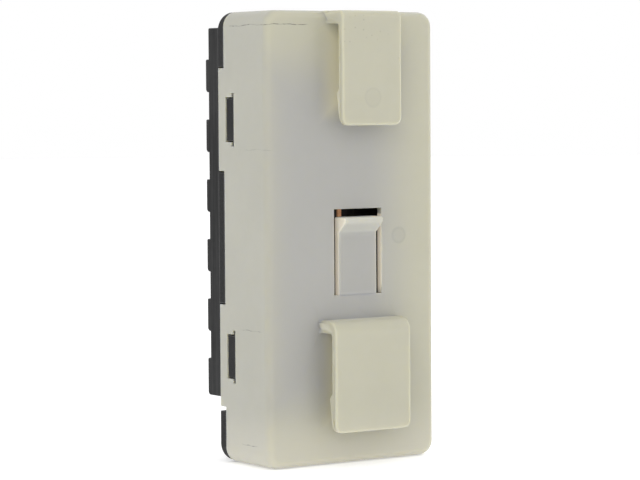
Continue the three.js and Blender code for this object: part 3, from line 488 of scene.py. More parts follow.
def make_groups():
    """The effects that several finishes share."""
    # Clouds: two sizes of noise as one value.
    tree, given, out = new_group("Clouds", [("Scale", "Float", 60.0), ("Fine share", "Float", 0.3)],
                                 [("Value", "Float")])
    place = object_place(tree)
    wide = noise(tree, place, given["Scale"], 3.0)
    fine = noise(tree, place, times(tree, given["Scale"], 9.0), 4.0)
    blend = add_node(tree, "ShaderNodeMix", {0: given["Fine share"], 2: wide, 3: fine})
    tree.links.new(remapped(tree, blend.outputs[0], 0.32, 0.68, 0.0, 1.0), out["Value"])

    # Grain: the fine texture of a moulded or plated skin as a value and a bumped normal.
    tree, given, out = new_group("Grain", [("Scale", "Float", 2500.0), ("Height", "Float", 0.02),
                                           ("Stretch", "Vector", (1, 1, 1))],
                                 [("Value", "Float"), ("Normal", "Vector")])
    stretched = add_node(tree, "ShaderNodeVectorMath", {0: object_place(tree),
                                                        1: given["Stretch"]}, operation="MULTIPLY")
    value = noise(tree, stretched.outputs[0], given["Scale"], 4.0, 0.6)
    height = times(tree, value, given["Height"])
    bump = add_node(tree, "ShaderNodeBump", {"Strength": 1.0, "Distance": MM, "Height": height})
    tree.links.new(value, out["Value"])
    tree.links.new(bump.outputs["Normal"], out["Normal"])

    # Ring mark: a thin circle about a point on the panel face, with its filled disc.
    tree, given, out = new_group("Ring mark", [("Centre", "Vector", (0, 0, 0)),
                                               ("Radius", "Float", 1.75 * MM),
                                               ("Width", "Float", 0.2 * MM)],
                                 [("Ring", "Float"), ("Disc", "Float")])
    apart = add_node(tree, "ShaderNodeVectorMath", {0: object_place(tree), 1: given["Centre"]},
                     operation="DISTANCE")
    off_ring = calculate(tree, "ABSOLUTE", calculate(tree, "SUBTRACT", apart.outputs["Value"],
                                                     given["Radius"]))
    tree.links.new(remapped(tree, off_ring, 0.0, given["Width"], 1.0, 0.0), out["Ring"])
    past = calculate(tree, "ADD", given["Radius"], given["Width"])
    tree.links.new(remapped(tree, apart.outputs["Value"], given["Radius"], past, 1.0, 0.0),
                   out["Disc"])

    # Soft box: inside a box about a centre, fading over a soft border.
    tree, given, out = new_group("Soft box", [("Centre", "Vector", (0, 0, 0)),
                                              ("Half size", "Vector", (1, 1, 1)),
                                              ("Border", "Float", MM)], [("Inside", "Float")])
    away = add_node(tree, "ShaderNodeVectorMath", {0: object_place(tree), 1: given["Centre"]},
                    operation="SUBTRACT")
    away = add_node(tree, "ShaderNodeVectorMath", {0: away.outputs[0]}, operation="ABSOLUTE")
    away = add_node(tree, "ShaderNodeVectorMath", {0: away.outputs[0], 1: given["Half size"]},
                    operation="SUBTRACT")
    axes = split(tree, away.outputs[0])
    furthest = calculate(tree, "MAXIMUM", axes["X"], calculate(tree, "MAXIMUM", axes["Y"],
                                                               axes["Z"]))
    past = calculate(tree, "DIVIDE", furthest, given["Border"])
    tree.links.new(remapped(tree, past, -1.0, 1.0, 1.0, 0.0), out["Inside"])

    # Hairline: a thin level line at a height, between two depths on the left wall or front.
    tree, given, out = new_group("Hairline", [("Height", "Float", 0.0), ("Near", "Float", 0.0),
                                              ("Far", "Float", 0.0), ("Width", "Float", 0.15 * MM)],
                                 [("Line", "Float")])
    place = object_place(tree)
    axes = split(tree, place)
    ripple = times(tree, noise(tree, place, 300.0, 2.0), 0.9 * MM)
    off_line = calculate(tree, "ABSOLUTE", calculate(tree, "SUBTRACT", calculate(
        tree, "ADD", axes["Z"], ripple), given["Height"]))
    thin = remapped(tree, off_line, 0.0, given["Width"], 1.0, 0.0)
    along = calculate(tree, "ADD", axes["X"], times(tree, axes["Y"], -1.0))
    soft_end = 2.0 * MM
    begins = remapped(tree, along, given["Near"], calculate(tree, "ADD", given["Near"], soft_end),
                      0.0, 1.0)
    ends = remapped(tree, along, calculate(tree, "SUBTRACT", given["Far"], soft_end),
                    given["Far"], 1.0, 0.0)
    broken = remapped(tree, noise(tree, place, 700.0, 3.0), 0.42, 0.6, 0.35, 1.0)
    whole = times(tree, times(tree, begins, ends), broken)
    tree.links.new(times(tree, thin, whole), out["Line"])

    # Specks: rare small spots, from the cells whose random colour is brightest.
    tree, given, out = new_group("Specks", [("Scale", "Float", 500.0), ("Rarity", "Float", 0.97),
                                            ("Size", "Float", 0.22)], [("Spots", "Float")])
    cells = add_node(tree, "ShaderNodeTexVoronoi", {"Vector": object_place(tree),
                                                    "Scale": given["Scale"]})
    chosen = calculate(tree, "GREATER_THAN", add_node(
        tree, "ShaderNodeSeparateColor", {0: cells.outputs["Color"]}).outputs[0], given["Rarity"])
    spot = remapped(tree, cells.outputs["Distance"], 0.0, given["Size"], 1.0, 0.0)
    tree.links.new(times(tree, chosen, spot), out["Spots"])

    # Dust: what settles on faces that look up, broken by noise.
    tree, given, out = new_group("Dust", [("Amount", "Float", 0.3)], [("Cover", "Float")])
    up = facing(tree)["Z"]
    settled = remapped(tree, up, 0.5, 1.0, 0.0, 1.0)
    patches = remapped(tree, noise(tree, object_place(tree), 500.0, 5.0), 0.4, 0.7, 0.0, 1.0)
    tree.links.new(times(tree, times(tree, settled, patches), given["Amount"]), out["Cover"])

    # Traces: straight level and upright bands whose run changes from cell to cell.
    tree, given, out = new_group("Traces", [("Scale", "Float", 260.0)], [("Copper", "Float")])
    place = object_place(tree)
    cells = add_node(tree, "ShaderNodeTexVoronoi", {"Vector": place, "Scale": given["Scale"]},
                     distance="CHEBYCHEV")
    axes = split(tree, place)
    pick = calculate(tree, "GREATER_THAN", add_node(
        tree, "ShaderNodeSeparateColor", {0: cells.outputs["Color"]}).outputs[1], 0.5)
    run = add_node(tree, "ShaderNodeMix", {0: pick, 2: axes["X"], 3: axes["Z"]}).outputs[0]
    wave = calculate(tree, "SINE", times(tree, run, 3000.0))
    tree.links.new(remapped(tree, wave, -0.1, 0.25, 0.0, 1.0), out["Copper"])


# ------------------------------------------------------------------ finishes


def new_material(name, roughness, metallic=0.0, **sockets):
    """A material, its node tree and its Principled shader, with constants on the shader."""
    material = bpy.data.materials.new(name)
    material.use_nodes = True
    shader = material.node_tree.nodes["Principled BSDF"]
    shader.inputs["Roughness"].default_value = roughness
    shader.inputs["Metallic"].default_value = metallic
    for key, value in sockets.items():
        shader.inputs[key.replace("_", " ")].default_value = value
    return material, material.node_tree, shader


def feed(tree, shader, **sockets):
    for key, value in sockets.items():
        tree.links.new(value, shader.inputs[key.replace("_", " ")])


def cloudy(name, first, second, scale, rough, grain, metallic=0.0, dust=0.0, **sockets):
    """A finish whose colour drifts between two, whose gloss follows it, and which has a grain.
    rough is the lowest and highest roughness, grain its scale, height and stretch."""
    material, tree, shader = new_material(name, rough[0], metallic, **sockets)
    clouds = use_group(tree, "Clouds", Scale=scale)["Value"]
    skin = use_group(tree, "Grain", Scale=grain[0], Height=grain[1],
                     Stretch=grain[2] if len(grain) > 2 else (1, 1, 1))
    tint = mixed(tree, clouds, first, second)
    if dust:
        tint = mixed(tree, use_group(tree, "Dust", Amount=dust)["Cover"], tint, DUST)
    shine = remapped(tree, skin["Value"], 0.3, 0.7, rough[0], rough[1])
    feed(tree, shader, Base_Color=tint, Roughness=shine, Normal=skin["Normal"])
    return material


def lighter(tone, share):
    return tuple(value + (1 - value) * share for value in tone)


def darker(tone, share):
    return tuple(value * (1 - share) for value in tone)


def nylon_finish(name, settings, marked):
    """Milky nylon: light soaks in and comes out yellower where it is thick. The marked one has the
    ejector pins' rings, hairlines from the tool and a few dark specks."""
    material, tree, shader = new_material(
        name, 0.42, Subsurface_Weight=1.0, Subsurface_Radius=settings.soaked,
        Subsurface_Scale=settings.depth, Specular_IOR_Level=0.3, Emission_Strength=1.0)
    low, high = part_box("mounting_cover")
    tongue_low, tongue_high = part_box("latch_tongue")
    face = panel_face()
    axis_x = (tongue_low.x + tongue_high.x) / 2
    clouds = use_group(tree, "Clouds", Scale=45.0, Fine_share=0.25)["Value"]
    skin = use_group(tree, "Grain", Scale=900.0, Height=0.012)
    cool = mixed(tree, clouds, darker(settings.nylon_thin, 0.03), settings.nylon_thin)
    warm = mixed(tree, clouds, settings.nylon, darker(settings.nylon, 0.04))
    middle = ((low.x + high.x) / 2 - 6 * MM, face, (low.z + high.z) / 2)
    thin = soft_box(tree, 9 * MM, middle, (18 * MM, 9 * MM, 40 * MM))
    place = split(tree, object_place(tree))
    proud = remapped(tree, place["Y"], face - 1.2 * MM, face - 0.1 * MM, 1.0, 0.0)
    lip = remapped(tree, place["Z"], tongue_high.z - 5 * MM, tongue_high.z - 3 * MM, 0.0, 1.0)
    thick = calculate(tree, "MAXIMUM", proud, calculate(tree, "SUBTRACT", 1.0, thin))
    tint = mixed(tree, thick, cool, warm)
    # painted shade: behind the panel face the side walls are coloured darker
    side_shade = remapped(tree, place["Y"], face + 0.1 * MM, face + 1.6 * MM, 0.0, 1.0)
    tint = mixed(tree, side_shade, tint, mixed(tree, clouds, settings.nylon_side_shade,
                                            darker(settings.nylon_side_shade, 0.04)))
    # painted light: the lowest 15 mm fade to a lighter colour against the floor's shade
    low_lit = remapped(tree, place["Z"], low.z, low.z + 15 * MM, 0.6, 0.0)
    tint = mixed(tree, low_lit, tint, settings.nylon_low_lit)
    tint = tint if marked else mixed(tree, lip, tint, settings.nylon_lip)
    height = skin["Value"]
    to_left = remapped(tree, facing(tree)["X"], -0.95, -0.5, 1.0, 0.0)
    hollow = soft_box(tree, 0.15 * MM,
                      (axis_x, face - 0.4 * MM, (tongue_low.z + tongue_high.z) / 2),
                      (7.4 * MM, 2.4 * MM, 9.4 * MM))
    soaked = times(tree, to_left, hollow)
    joint = soft_box(tree, 0.4 * MM, (axis_x, face, tongue_low.z),
                     (5.4 * MM, 0.4 * MM, 0.3 * MM))
    glow = mixed(tree, joint, (0, 0, 0), settings.seam)
    glow = mixed(tree, soaked, glow, settings.glow)
    if marked:
        dip = None
        for (x, z, radius, strength), y in zip(EJECTOR_MARKS, (face, low.y)):
            mark = use_group(tree, "Ring mark", Centre=Vector((x, y, z)), Width=0.5 * MM,
                             Radius=radius * settings.ejector_radius)
            shade = times(tree, mark["Ring"], strength)
            tint = mixed(tree, shade, tint, darker(settings.nylon_thin, 0.3))
            inside = times(tree, mark["Disc"], strength)
            tint = mixed(tree, inside, tint, darker(settings.nylon_thin, 0.2))
            dip = mark["Ring"] if dip is None else calculate(tree, "MAXIMUM", dip, mark["Ring"])
        for top in HOOK_SHADES:
            behind = soft_box(tree, 3.5 * MM, (axis_x - 1 * MM, face, top - HOOK_REACH / 2),
                              (7 * MM, 6 * MM, HOOK_REACH / 2 - 2 * MM))
            under = remapped(tree, place["Y"], low.y + 1.0 * MM, low.y + 1.7 * MM, 0.0, 1.0)
            behind = times(tree, behind, under)
            tint = mixed(tree, behind, tint, settings.nylon_shaded)
            glow = mixed(tree, behind, glow, settings.seep)
        side = low.x - face
        lines = [  # (height, near end, far end, strength)
            (high.z - 2.9 * MM, side - 16 * MM, side + 12 * MM, 1.0),
            (high.z - 31.3 * MM, side - 10 * MM, side + 2 * MM, 0.3),
            (32.0 * MM, side - 12 * MM, side - 2 * MM, 0.7),
            (5.5 * MM, side - 12 * MM, side - 4 * MM, 0.8),
        ]
        for level, near, far, strength in lines:
            line = use_group(tree, "Hairline", Height=level, Near=near, Far=far)["Line"]
            tint = mixed(tree, times(tree, line, strength), tint,
                         darker(settings.nylon_thin, 0.7))
        hook_top = soft_box(tree, 1 * MM, (axis_x, low.y, high.z - 4.5 * MM),
                            (8 * MM, 2 * MM, 3.5 * MM))
        spots = use_group(tree, "Specks", Scale=1300.0, Rarity=0.86, Size=0.4)["Spots"]
        rubbed = times(tree, spots, hook_top)
        stray = use_group(tree, "Specks", Scale=330.0, Rarity=0.99, Size=0.12)["Spots"]
        spots = calculate(tree, "MAXIMUM", rubbed, times(tree, stray, 0.5))
        tint = mixed(tree, times(tree, spots, 0.4), tint, SPECK)
        height = calculate(tree, "SUBTRACT", height, times(tree, dip, 1.5))
    bump = add_node(tree, "ShaderNodeBump", {"Strength": 1.0, "Distance": 0.012 * MM,
                                             "Height": height})
    shine = remapped(tree, clouds, 0.0, 1.0, 0.38, 0.48)
    feed(tree, shader, Base_Color=tint, Roughness=shine, Normal=bump.outputs["Normal"],
         Emission_Color=glow)
    return material


def banded_finish(name, coat, bands):
    """A lacquered component with colour rings: the attribute "along" runs from 0 to 1 down it."""
    material, tree, shader = new_material(name, 0.35, Coat_Weight=0.3)
    along = add_node(tree, "ShaderNodeAttribute", attribute_name="along").outputs["Fac"]
    tint = coat
    for place, width, ring in bands:
        off = calculate(tree, "ABSOLUTE", calculate(tree, "SUBTRACT", along, place))
        tint = mixed(tree, remapped(tree, off, width * 0.8, width, 1.0, 0.0), tint, ring)
    skin = use_group(tree, "Grain", Scale=2000.0, Height=0.01)
    worn = mixed(tree, times(tree, skin["Value"], 0.2), tint, darker(coat, 0.5))
    feed(tree, shader, Base_Color=worn, Normal=skin["Normal"])
    return material


def make_finishes(scene):
    """Every finish by the name of what it covers."""
    cover, body, slider = scene.dimmer_cover, scene.dimmer_frame, scene.dimmer_slider
    screws, circuit = scene.dimmer_screws, scene.dimmer_circuit
    along_z, level = (1.0, 1.0, 0.03), (0.06, 1.0, 1.0)
    lacquer = (0.62, 0.48, 0.28)
    return {
        "nylon": nylon_finish("Milky nylon", cover, True),
        "tongue": nylon_finish("Milky nylon tongue", cover, False),
        "black": cloudy("Black plastic", body.black, lighter(body.black, 0.008), 90.0,
                        (0.42, 0.6), (2600.0, 0.02), dust=0.12,
                        Specular_IOR_Level=0.18),
        # edge slots: rubbed black edges, made lighter as painted highlights along the bevels
        "black edge highlight": cloudy("Rubbed plastic edge and highlight", body.worn, darker(body.worn, 0.5), 400.0,
                             (0.4, 0.6), (2600.0, 0.02)),
        "anodised": cloudy("Black anodised", body.anodised, lighter(body.anodised, 0.01), 70.0,
                           (0.4, 0.62), (1500.0, 0.016, along_z), dust=0.14,
                           Specular_IOR_Level=0.2),
        "anodised edge highlight": cloudy("Rubbed anodised edge and highlight", body.worn, darker(body.worn, 0.55), 300.0,
                                (0.35, 0.55), (1800.0, 0.012)),
        "knob": cloudy("Knob plastic", slider.black, lighter(slider.black, 0.01), 200.0,
                       (0.28, 0.42), (3500.0, 0.012), dust=0.08),
        "paint": cloudy("White filling paint", (0.78, 0.78, 0.75), (0.66, 0.65, 0.6), 700.0,
                        (0.45, 0.65), (4000.0, 0.02)),
        "zinc": cloudy("Zinc plate", screws.zinc, darker(screws.zinc, 0.3), 500.0,
                       (0.22, 0.42), (3500.0, 0.008), metallic=1.0),
        "case steel": cloudy("Tinned steel case", lighter(screws.zinc, 0.1),
                             darker(screws.zinc, 0.15), 150.0, (0.25, 0.45),
                             (1800.0, 0.006, along_z), metallic=1.0),
        "brass": cloudy("Brass", (0.78, 0.57, 0.25), (0.6, 0.38, 0.15), 500.0,
                        (0.22, 0.42), (2500.0, 0.006, level), metallic=1.0),
        # painted glow: the copper gives off a faint warm light, though it is no lamp
        "copper": cloudy("Bare copper with painted glow", circuit.copper, darker(circuit.copper, 0.25), 260.0,
                         (0.3, 0.5), (2200.0, 0.008, along_z), metallic=0.7,
                         Emission_Color=(0.5, 0.25, 0.12, 1), Emission_Strength=0.35),
        "tin": cloudy("Tin and solder", (0.62, 0.62, 0.63), (0.47, 0.47, 0.48), 700.0,
                      (0.24, 0.4), (2500.0, 0.01), metallic=1.0),
        "board": board_finish(circuit),
        "phenolic": cloudy("Brown phenolic", (0.25, 0.13, 0.06), (0.17, 0.085, 0.035), 900.0,
                           (0.5, 0.7), (2000.0, 0.02, along_z)),
        "carbon": cloudy("Printed carbon", (0.015, 0.015, 0.016), (0.03, 0.03, 0.031), 900.0,
                         (0.65, 0.85), (4500.0, 0.02)),
        "ferrite": cloudy("Ferrite", (0.04, 0.04, 0.044), (0.065, 0.065, 0.07), 1500.0,
                          (0.5, 0.75), (3000.0, 0.03)),
        "winding": cloudy("Enamelled wire", (0.5, 0.17, 0.055), (0.36, 0.1, 0.03), 350.0,
                          (0.2, 0.34), (2500.0, 0.006), metallic=0.6, Coat_Weight=0.5),
        "film": cloudy("Red dipped epoxy", (0.33, 0.045, 0.025), (0.25, 0.03, 0.018), 200.0,
                       (0.18, 0.32), (450.0, 0.03), Coat_Weight=0.4),
        "ceramic": cloudy("Ochre dipped ceramic", (0.5, 0.26, 0.07), (0.4, 0.19, 0.045), 500.0,
                          (0.4, 0.6), (1200.0, 0.03)),
        "resistor": banded_finish("Banded lacquer", lacquer,
                                  [(0.2, 0.045, (0.09, 0.03, 0.012)),
                                   (0.38, 0.04, (0.012, 0.012, 0.012)),
                                   (0.54, 0.04, (0.6, 0.3, 0.02)),
                                   (0.8, 0.045, (0.55, 0.4, 0.12))]),
        "diac": banded_finish("Blue glass coat", (0.03, 0.09, 0.32),
                              [(0.5, 0.07, (0.02, 0.02, 0.025))]),
        "fuse": cloudy("Fuse can", (0.66, 0.66, 0.67), (0.5, 0.5, 0.52), 300.0,
                       (0.22, 0.4), (2000.0, 0.006), metallic=1.0),
        "silicone": cloudy("Grey silicone", (0.27, 0.31, 0.36), (0.22, 0.255, 0.3), 400.0,
                           (0.7, 0.85), (1800.0, 0.03)),
        "felt": cloudy("Black felt", (0.012, 0.012, 0.013), (0.03, 0.03, 0.031), 1800.0,
                       (0.85, 1.0), (5000.0, 0.12), Sheen_Weight=0.4),
        "epoxy": cloudy("Moulded epoxy", (0.011, 0.011, 0.012), (0.018, 0.018, 0.019), 500.0,
                        (0.5, 0.7), (3500.0, 0.02)),
    }


def board_finish(settings):
    """A board under solder mask: the copper tracks lift the mask and show faintly lighter."""
    material, tree, shader = new_material("Solder mask", 0.35, Coat_Weight=0.2)
    traces = use_group(tree, "Traces")["Copper"]
    clouds = use_group(tree, "Clouds", Scale=150.0)["Value"]
    bare = mixed(tree, clouds, settings.mask, lighter(settings.mask, 0.006))
    tint = mixed(tree, times(tree, traces, 0.7), bare,
                 lighter(settings.mask, 0.02))
    bump = add_node(tree, "ShaderNodeBump", {"Strength": 0.8, "Distance": 0.04 * MM,
                                             "Height": traces})
    shine = remapped(tree, traces, 0.0, 1.0, 0.42, 0.3)
    feed(tree, shader, Base_Color=tint, Roughness=shine, Normal=bump.outputs["Normal"])
    return material


FINISH = {}


# ------------------------------------------------------------------ operators


class DIMMER_OT_finishes(bpy.types.Operator):
    """Make the shared effects and every finish"""
    bl_idname = "dimmer.finishes"
    bl_label = "Finishes"

    def execute(self, context):
        make_groups()
        FINISH.update(make_finishes(context.scene))
        return {"FINISHED"}


class DIMMER_OT_cover(bpy.types.Operator):
    """Dress the nylon mounting cover with its hooks, ears and windows"""
    bl_idname = "dimmer.cover"
    bl_label = "Mounting cover"

    def execute(self, context):
        settings = context.scene.dimmer_cover
        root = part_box("latch_tongue")[0].z
        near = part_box("latch_tongue")[1].y
        face = panel_face()

        def kept(middle):
            beside_tongue = (abs(middle.x) < 9 * MM
                             and root - 1 * MM < middle.z < root + 20 * MM)
            at_root = beside_tongue and middle.z < root + 0.5 * MM and middle.y < near
            inside = beside_tongue and middle.y > face + 1 * MM
            return at_root or inside or middle.y < face - 0.02 * MM

        step = 4 * MM
        piece = link("cover_shell", merged_copy("mounting_cover", (step, step, step)), "housing",
                     ("mounting_cover",), ("nylon",))
        soften(piece, settings.edge, 2, keep_sharp=kept)
        return {"FINISHED"}


class DIMMER_OT_tongue(bpy.types.Operator):
    """Dress the latch tongue, whose root runs into the cover"""
    bl_idname = "dimmer.tongue"
    bl_label = "Latch tongue"

    def execute(self, context):
        settings = context.scene.dimmer_cover
        mesh = merged_copy("latch_tongue", (2 * MM, 0, 1.2 * MM))
        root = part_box("latch_tongue")[0].z
        front = min(vertex.co.y for vertex in mesh.vertices if vertex.co.z < root + 1 * MM)
        sink = 0.03 * MM
        for vertex in mesh.vertices:
            if vertex.co.z < root + 0.01 * MM:
                vertex.co.z -= settings.root_lap
                vertex.co.y += sink if vertex.co.y < front + 0.5 * MM else -sink
        piece = link("latch_spring", mesh, None, ("latch_tongue",),
                     ("tongue",))
        soften(piece, settings.tongue_edge, 4, keep_sharp=lambda middle: middle.z < root
               or middle.y > front + 1.3 * MM)
        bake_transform(piece)
        return {"FINISHED"}


class DIMMER_OT_base(bpy.types.Operator):
    """Dress the base frame with its catches, bosses and posts"""
    bl_idname = "dimmer.base"
    bl_label = "Base frame"

    def execute(self, context):
        refined("base_frame", "base_plate", "black_plastic", context.scene.dimmer_frame.base_edge,
                "black", "black edge highlight", edge_slot=1,
                steps=(5 * MM, 0, 5 * MM))
        return {"FINISHED"}


class DIMMER_OT_heat_sink(bpy.types.Operator):
    """Dress the banded heat sink, its edges rubbed lighter and painted lighter still as highlights
    """
    bl_idname = "dimmer.heat_sink"
    bl_label = "Heat sink"

    def execute(self, context):
        refined("ribbed_heat_sink", "heat_sink", "anodised_black",
                context.scene.dimmer_frame.sink_edge,
                "anodised", "anodised edge highlight", segments=3, edge_slot=1,
                steps=(4 * MM, 0, 0))
        return {"FINISHED"}


class DIMMER_OT_terminals(bpy.types.Operator):
    """Dress the terminal block, its clamps and pins"""
    bl_idname = "dimmer.terminals"
    bl_label = "Terminal block"

    def execute(self, context):
        refined("terminal_block", "terminal_housing", "black_plastic", 0.25 * MM,
                "black", "black edge highlight", segments=3)
        for node in sorted(BODY_OF):
            if node.startswith("terminal_clamp"):
                refined(node, node.replace("terminal_clamp", "wire_clamp"), "brass", 0.15 * MM,
                        "brass")
            if node.startswith("terminal_pin"):
                refined(node, node.replace("terminal_pin", "contact_pin"), "tin", 0.15 * MM,
                        "tin")
        return {"FINISHED"}


def screw_rings(node, shank, head_share, toward, settings, slotted):
    """A screw along Y as rings from the head's middle to the tip. The head is a low dome,
    h = H (1 - 0.22 s^2), whose rim is a quarter round; a cross of two arms, or a slot, is pressed
    into it, tapering outwards. The shank's radius waves with (distance / pitch - turn), which
    makes a thread, and narrows to a point."""
    low, high = (np.array(corner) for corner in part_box(node))
    centre = (low + high) / 2
    radius = (high[0] - low[0]) / 2
    total = high[1] - low[1]
    head = total * head_share
    around = 72
    turn = np.linspace(0, 2 * np.pi, around, endpoint=False)
    rim = 0.16 * radius
    dome = np.linspace(0.015, 1, 26)
    bend = np.linspace(0, np.pi / 2, 6)[1:]
    radii = np.concatenate([dome * (radius - rim), radius - rim + rim * np.sin(bend),
                            [radius, shank * 1.15]])
    crown = head * (1 - 0.22 * dome**2)
    heights = np.concatenate([crown, crown[-1] - rim * (1 - np.cos(bend)), [0.0, 0.0]])
    grid_radius = np.multiply.outer(radii, np.ones(around))
    x, z = grid_radius * np.cos(turn), grid_radius * np.sin(turn)
    soft = 0.09 * radius
    if slotted:
        pressed = smoothstep((settings.slot_width / 2 - np.abs(z)) / soft + 0.5)
    else:
        arm, reach = settings.recess_width / 2, settings.recess_reach * radius
        shorter, longer = np.minimum(np.abs(x), np.abs(z)), np.maximum(np.abs(x), np.abs(z))
        pressed = (smoothstep((arm * (1.25 - 0.4 * longer / reach) - shorter) / soft + 0.5)
                   * smoothstep((reach - longer) / soft + 0.5) * (1 - 0.3 * longer / reach))
    grid_height = heights[:, None] - pressed * min(settings.recess_depth, 0.62 * head) * (
        heights[:, None] > 0.3 * head)
    bite = total - head
    travel = np.linspace(0, 1, max(12, int(bite / settings.pitch * 7)))
    taper = 1 - 0.6 * smoothstep((travel - 0.86) / 0.14)
    wave = travel[:, None] * bite / settings.pitch - turn / (2 * np.pi)
    thread = np.abs((wave % 1) * 2 - 1) * settings.thread
    shank_radius = shank * taper[:, None] - thread * taper[:, None]
    grid_radius = np.concatenate([grid_radius, shank_radius])
    grid_height = np.concatenate([grid_height, -np.multiply.outer(travel, np.ones(around)) * bite])
    top = high[1] if toward > 0 else low[1]
    y = top + toward * (grid_height - head)
    return np.stack([centre[0] + grid_radius * np.cos(turn), y,
                     centre[2] + grid_radius * np.sin(turn)], axis=-1)


SCREW_KINDS = {  # name: (shank radius, head's share of the length, facing, slotted)
    "heat_sink_screw": (1.4 * MM, 0.102, 1, False),
    "board_screw": (1.1 * MM, 0.151, -1, False),
    "triac_screw": (1.4 * MM, 0.16, -1, False),
    "terminal_screw": (1.35 * MM, 0.41, 1, True),
}


class DIMMER_OT_screws(bpy.types.Operator):
    """Make every screw, with a pressed drive and a thread"""
    bl_idname = "dimmer.screws"
    bl_label = "Screws"

    def execute(self, context):
        for node in sorted(BODY_OF):
            for kind, (shank, share, toward, slotted) in SCREW_KINDS.items():
                if node.startswith(kind):
                    rings = screw_rings(node, shank, share, toward,
                                        context.scene.dimmer_screws, slotted)
                    link(node.replace("screw", "pan_screw"), skins_mesh(node, [rings]), "housing",
                         (node,), ("zinc",))
        return {"FINISHED"}


def knob_rings(settings):
    """Sections across the knob, carried along its length z. Each is a superellipse of power 9
    from the base up to h(z), where h is the top less a parabolic dish, less the grip grooves
    (bells of exp(-d^2)), less a quarter ellipse at each end; its half width draws in at the ends
    by a quarter round."""
    low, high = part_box("slider_knob")
    middle_z, half_long = (low.z + high.z) / 2, (high.z - low.z) / 2
    half_wide = (high.x - low.x) / 2
    share = np.linspace(-1, 1, 181)
    eased = np.sign(share) * (1 - (1 - np.abs(share)) ** 1.25)
    z = eased * half_long
    level = half_long - settings.end_round
    within = np.clip(np.abs(z) / level, 0, 1)
    past = np.clip((np.abs(z) - level) / settings.end_round, 0, 1)
    top = high.y - settings.dish * (1 - within**2)
    top -= settings.end_drop * (1 - np.sqrt(1 - past**2))
    for place in (settings.groove_near, settings.groove_far):
        apart = (np.abs(z) - place) / settings.groove_half
        top -= settings.groove_depth * np.exp(-apart**2)
    drawn = np.clip((np.abs(z) - half_long + settings.side_round) / settings.side_round, 0, 1)
    wide = half_wide - settings.side_round * (1 - np.sqrt(1 - drawn**2))
    loop = rounded_loop(wide, (top - low.y) / 2, 9, 72)
    rings = np.zeros((len(z), 72, 3))
    rings[..., 0] = (low.x + high.x) / 2 + loop[..., 0]
    rings[..., 1] = ((top + low.y) / 2)[:, None] + loop[..., 1]
    rings[..., 2] = middle_z + z[:, None]
    return rings


class DIMMER_OT_slider(bpy.types.Operator):
    """Make the knob and dress its index line, carriage and wipers"""
    bl_idname = "dimmer.slider"
    bl_label = "Slider"

    def execute(self, context):
        edge = context.scene.dimmer_circuit.edge
        rings = knob_rings(context.scene.dimmer_slider)
        link("thumb_knob", skins_mesh("thumb_knob", [rings]), "slider",
             ("slider_knob",), ("knob",))
        refined("knob_index_line", "index_line", "white_paint", 0.1 * MM, "paint")
        refined("slider_carriage", "carriage", "black_plastic", 0.2 * MM, "black")
        refined("wiper_left", "contact_spring_left", "brass", edge / 2, "brass")
        refined("wiper_right", "contact_spring_right", "brass", edge / 2, "brass")
        return {"FINISHED"}


def felt_rings(node):
    """A dust strip: rounded sections along z whose half sizes ripple by a sum of sines, as cut
    felt does."""
    low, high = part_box(node)
    z = np.linspace(low.z, high.z, 180)
    steps = np.arange(len(z))
    ripple = 0.03 * MM * (np.sin(steps * 1.7) + np.sin(steps * 2.9 + 1) + np.sin(steps * 0.43))
    wide = (high.x - low.x) / 2 - 0.1 * MM + ripple
    thick = (high.y - low.y) / 2 - 0.05 * MM + 0.4 * ripple
    loop = rounded_loop(wide, thick, 4, 28)
    rings = np.zeros((len(z), 28, 3))
    rings[..., 0] = (low.x + high.x) / 2 + loop[..., 0]
    rings[..., 1] = (low.y + high.y) / 2 + loop[..., 1]
    rings[..., 2] = z[:, None]
    return rings


class DIMMER_OT_track(bpy.types.Operator):
    """Dress the slide potentiometer, its tracks, dust strips and the level wedge"""
    bl_idname = "dimmer.track"
    bl_label = "Potentiometer"

    def execute(self, context):
        edge = context.scene.dimmer_circuit.edge
        refined("pot_case", "track_case", "steel", 0.15 * MM, "case steel")
        refined("pot_track_card", "track_card", "phenolic", edge, "phenolic")
        refined("carbon_track", "resistive_track", "carbon", edge / 4, "carbon")
        refined("collector_rail", "pickup_rail", "tin", edge / 4, "tin")
        refined("level_wedge_inlay", "level_wedge", "white_paint", edge / 2, "paint")
        for side in ("left", "right"):
            node = f"dust_strip_{side}"
            link(f"felt_strip_{side}", skins_mesh(node, [felt_rings(node)]), "housing",
                 (node,), ("felt",))
        return {"FINISHED"}


def solder_rings(x, z, board, tip, radius):
    """A solder joint: a cone with hollow sides, r = R (1 - 0.72 t^0.5), up a pin."""
    share = np.linspace(0, 1, 14)
    return turned_rings(board + (tip - board) * share, radius * (1 - 0.72 * np.sqrt(share)),
                        (x, 0, z), 1, 24)


class DIMMER_OT_board(bpy.types.Operator):
    """Dress the circuit board, make its solder joints and its copper strip"""
    bl_idname = "dimmer.board"
    bl_label = "Circuit board"

    def execute(self, context):
        settings = context.scene.dimmer_circuit
        refined("circuit_board", "wiring_board", "board_mask", settings.edge, "board")
        refined("copper_bus_strip", "copper_strip", "copper", 0.12 * MM, "copper",
                segments=3)
        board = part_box("circuit_board")[0].y
        joints = []
        for node in sorted(BODY_OF):
            if node.startswith(("terminal_pin", "triac_lead")):
                low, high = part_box(node)
                foot = low.z + (high.z - low.z) / 2 if "pin" in node else low.z + 0.25 * MM
                joints.append(solder_rings((low.x + high.x) / 2, foot, board, low.y,
                                           settings.solder))
        link("solder_joints", skins_mesh("solder_joints", joints), "housing", (),
             ("tin",))
        return {"FINISHED"}


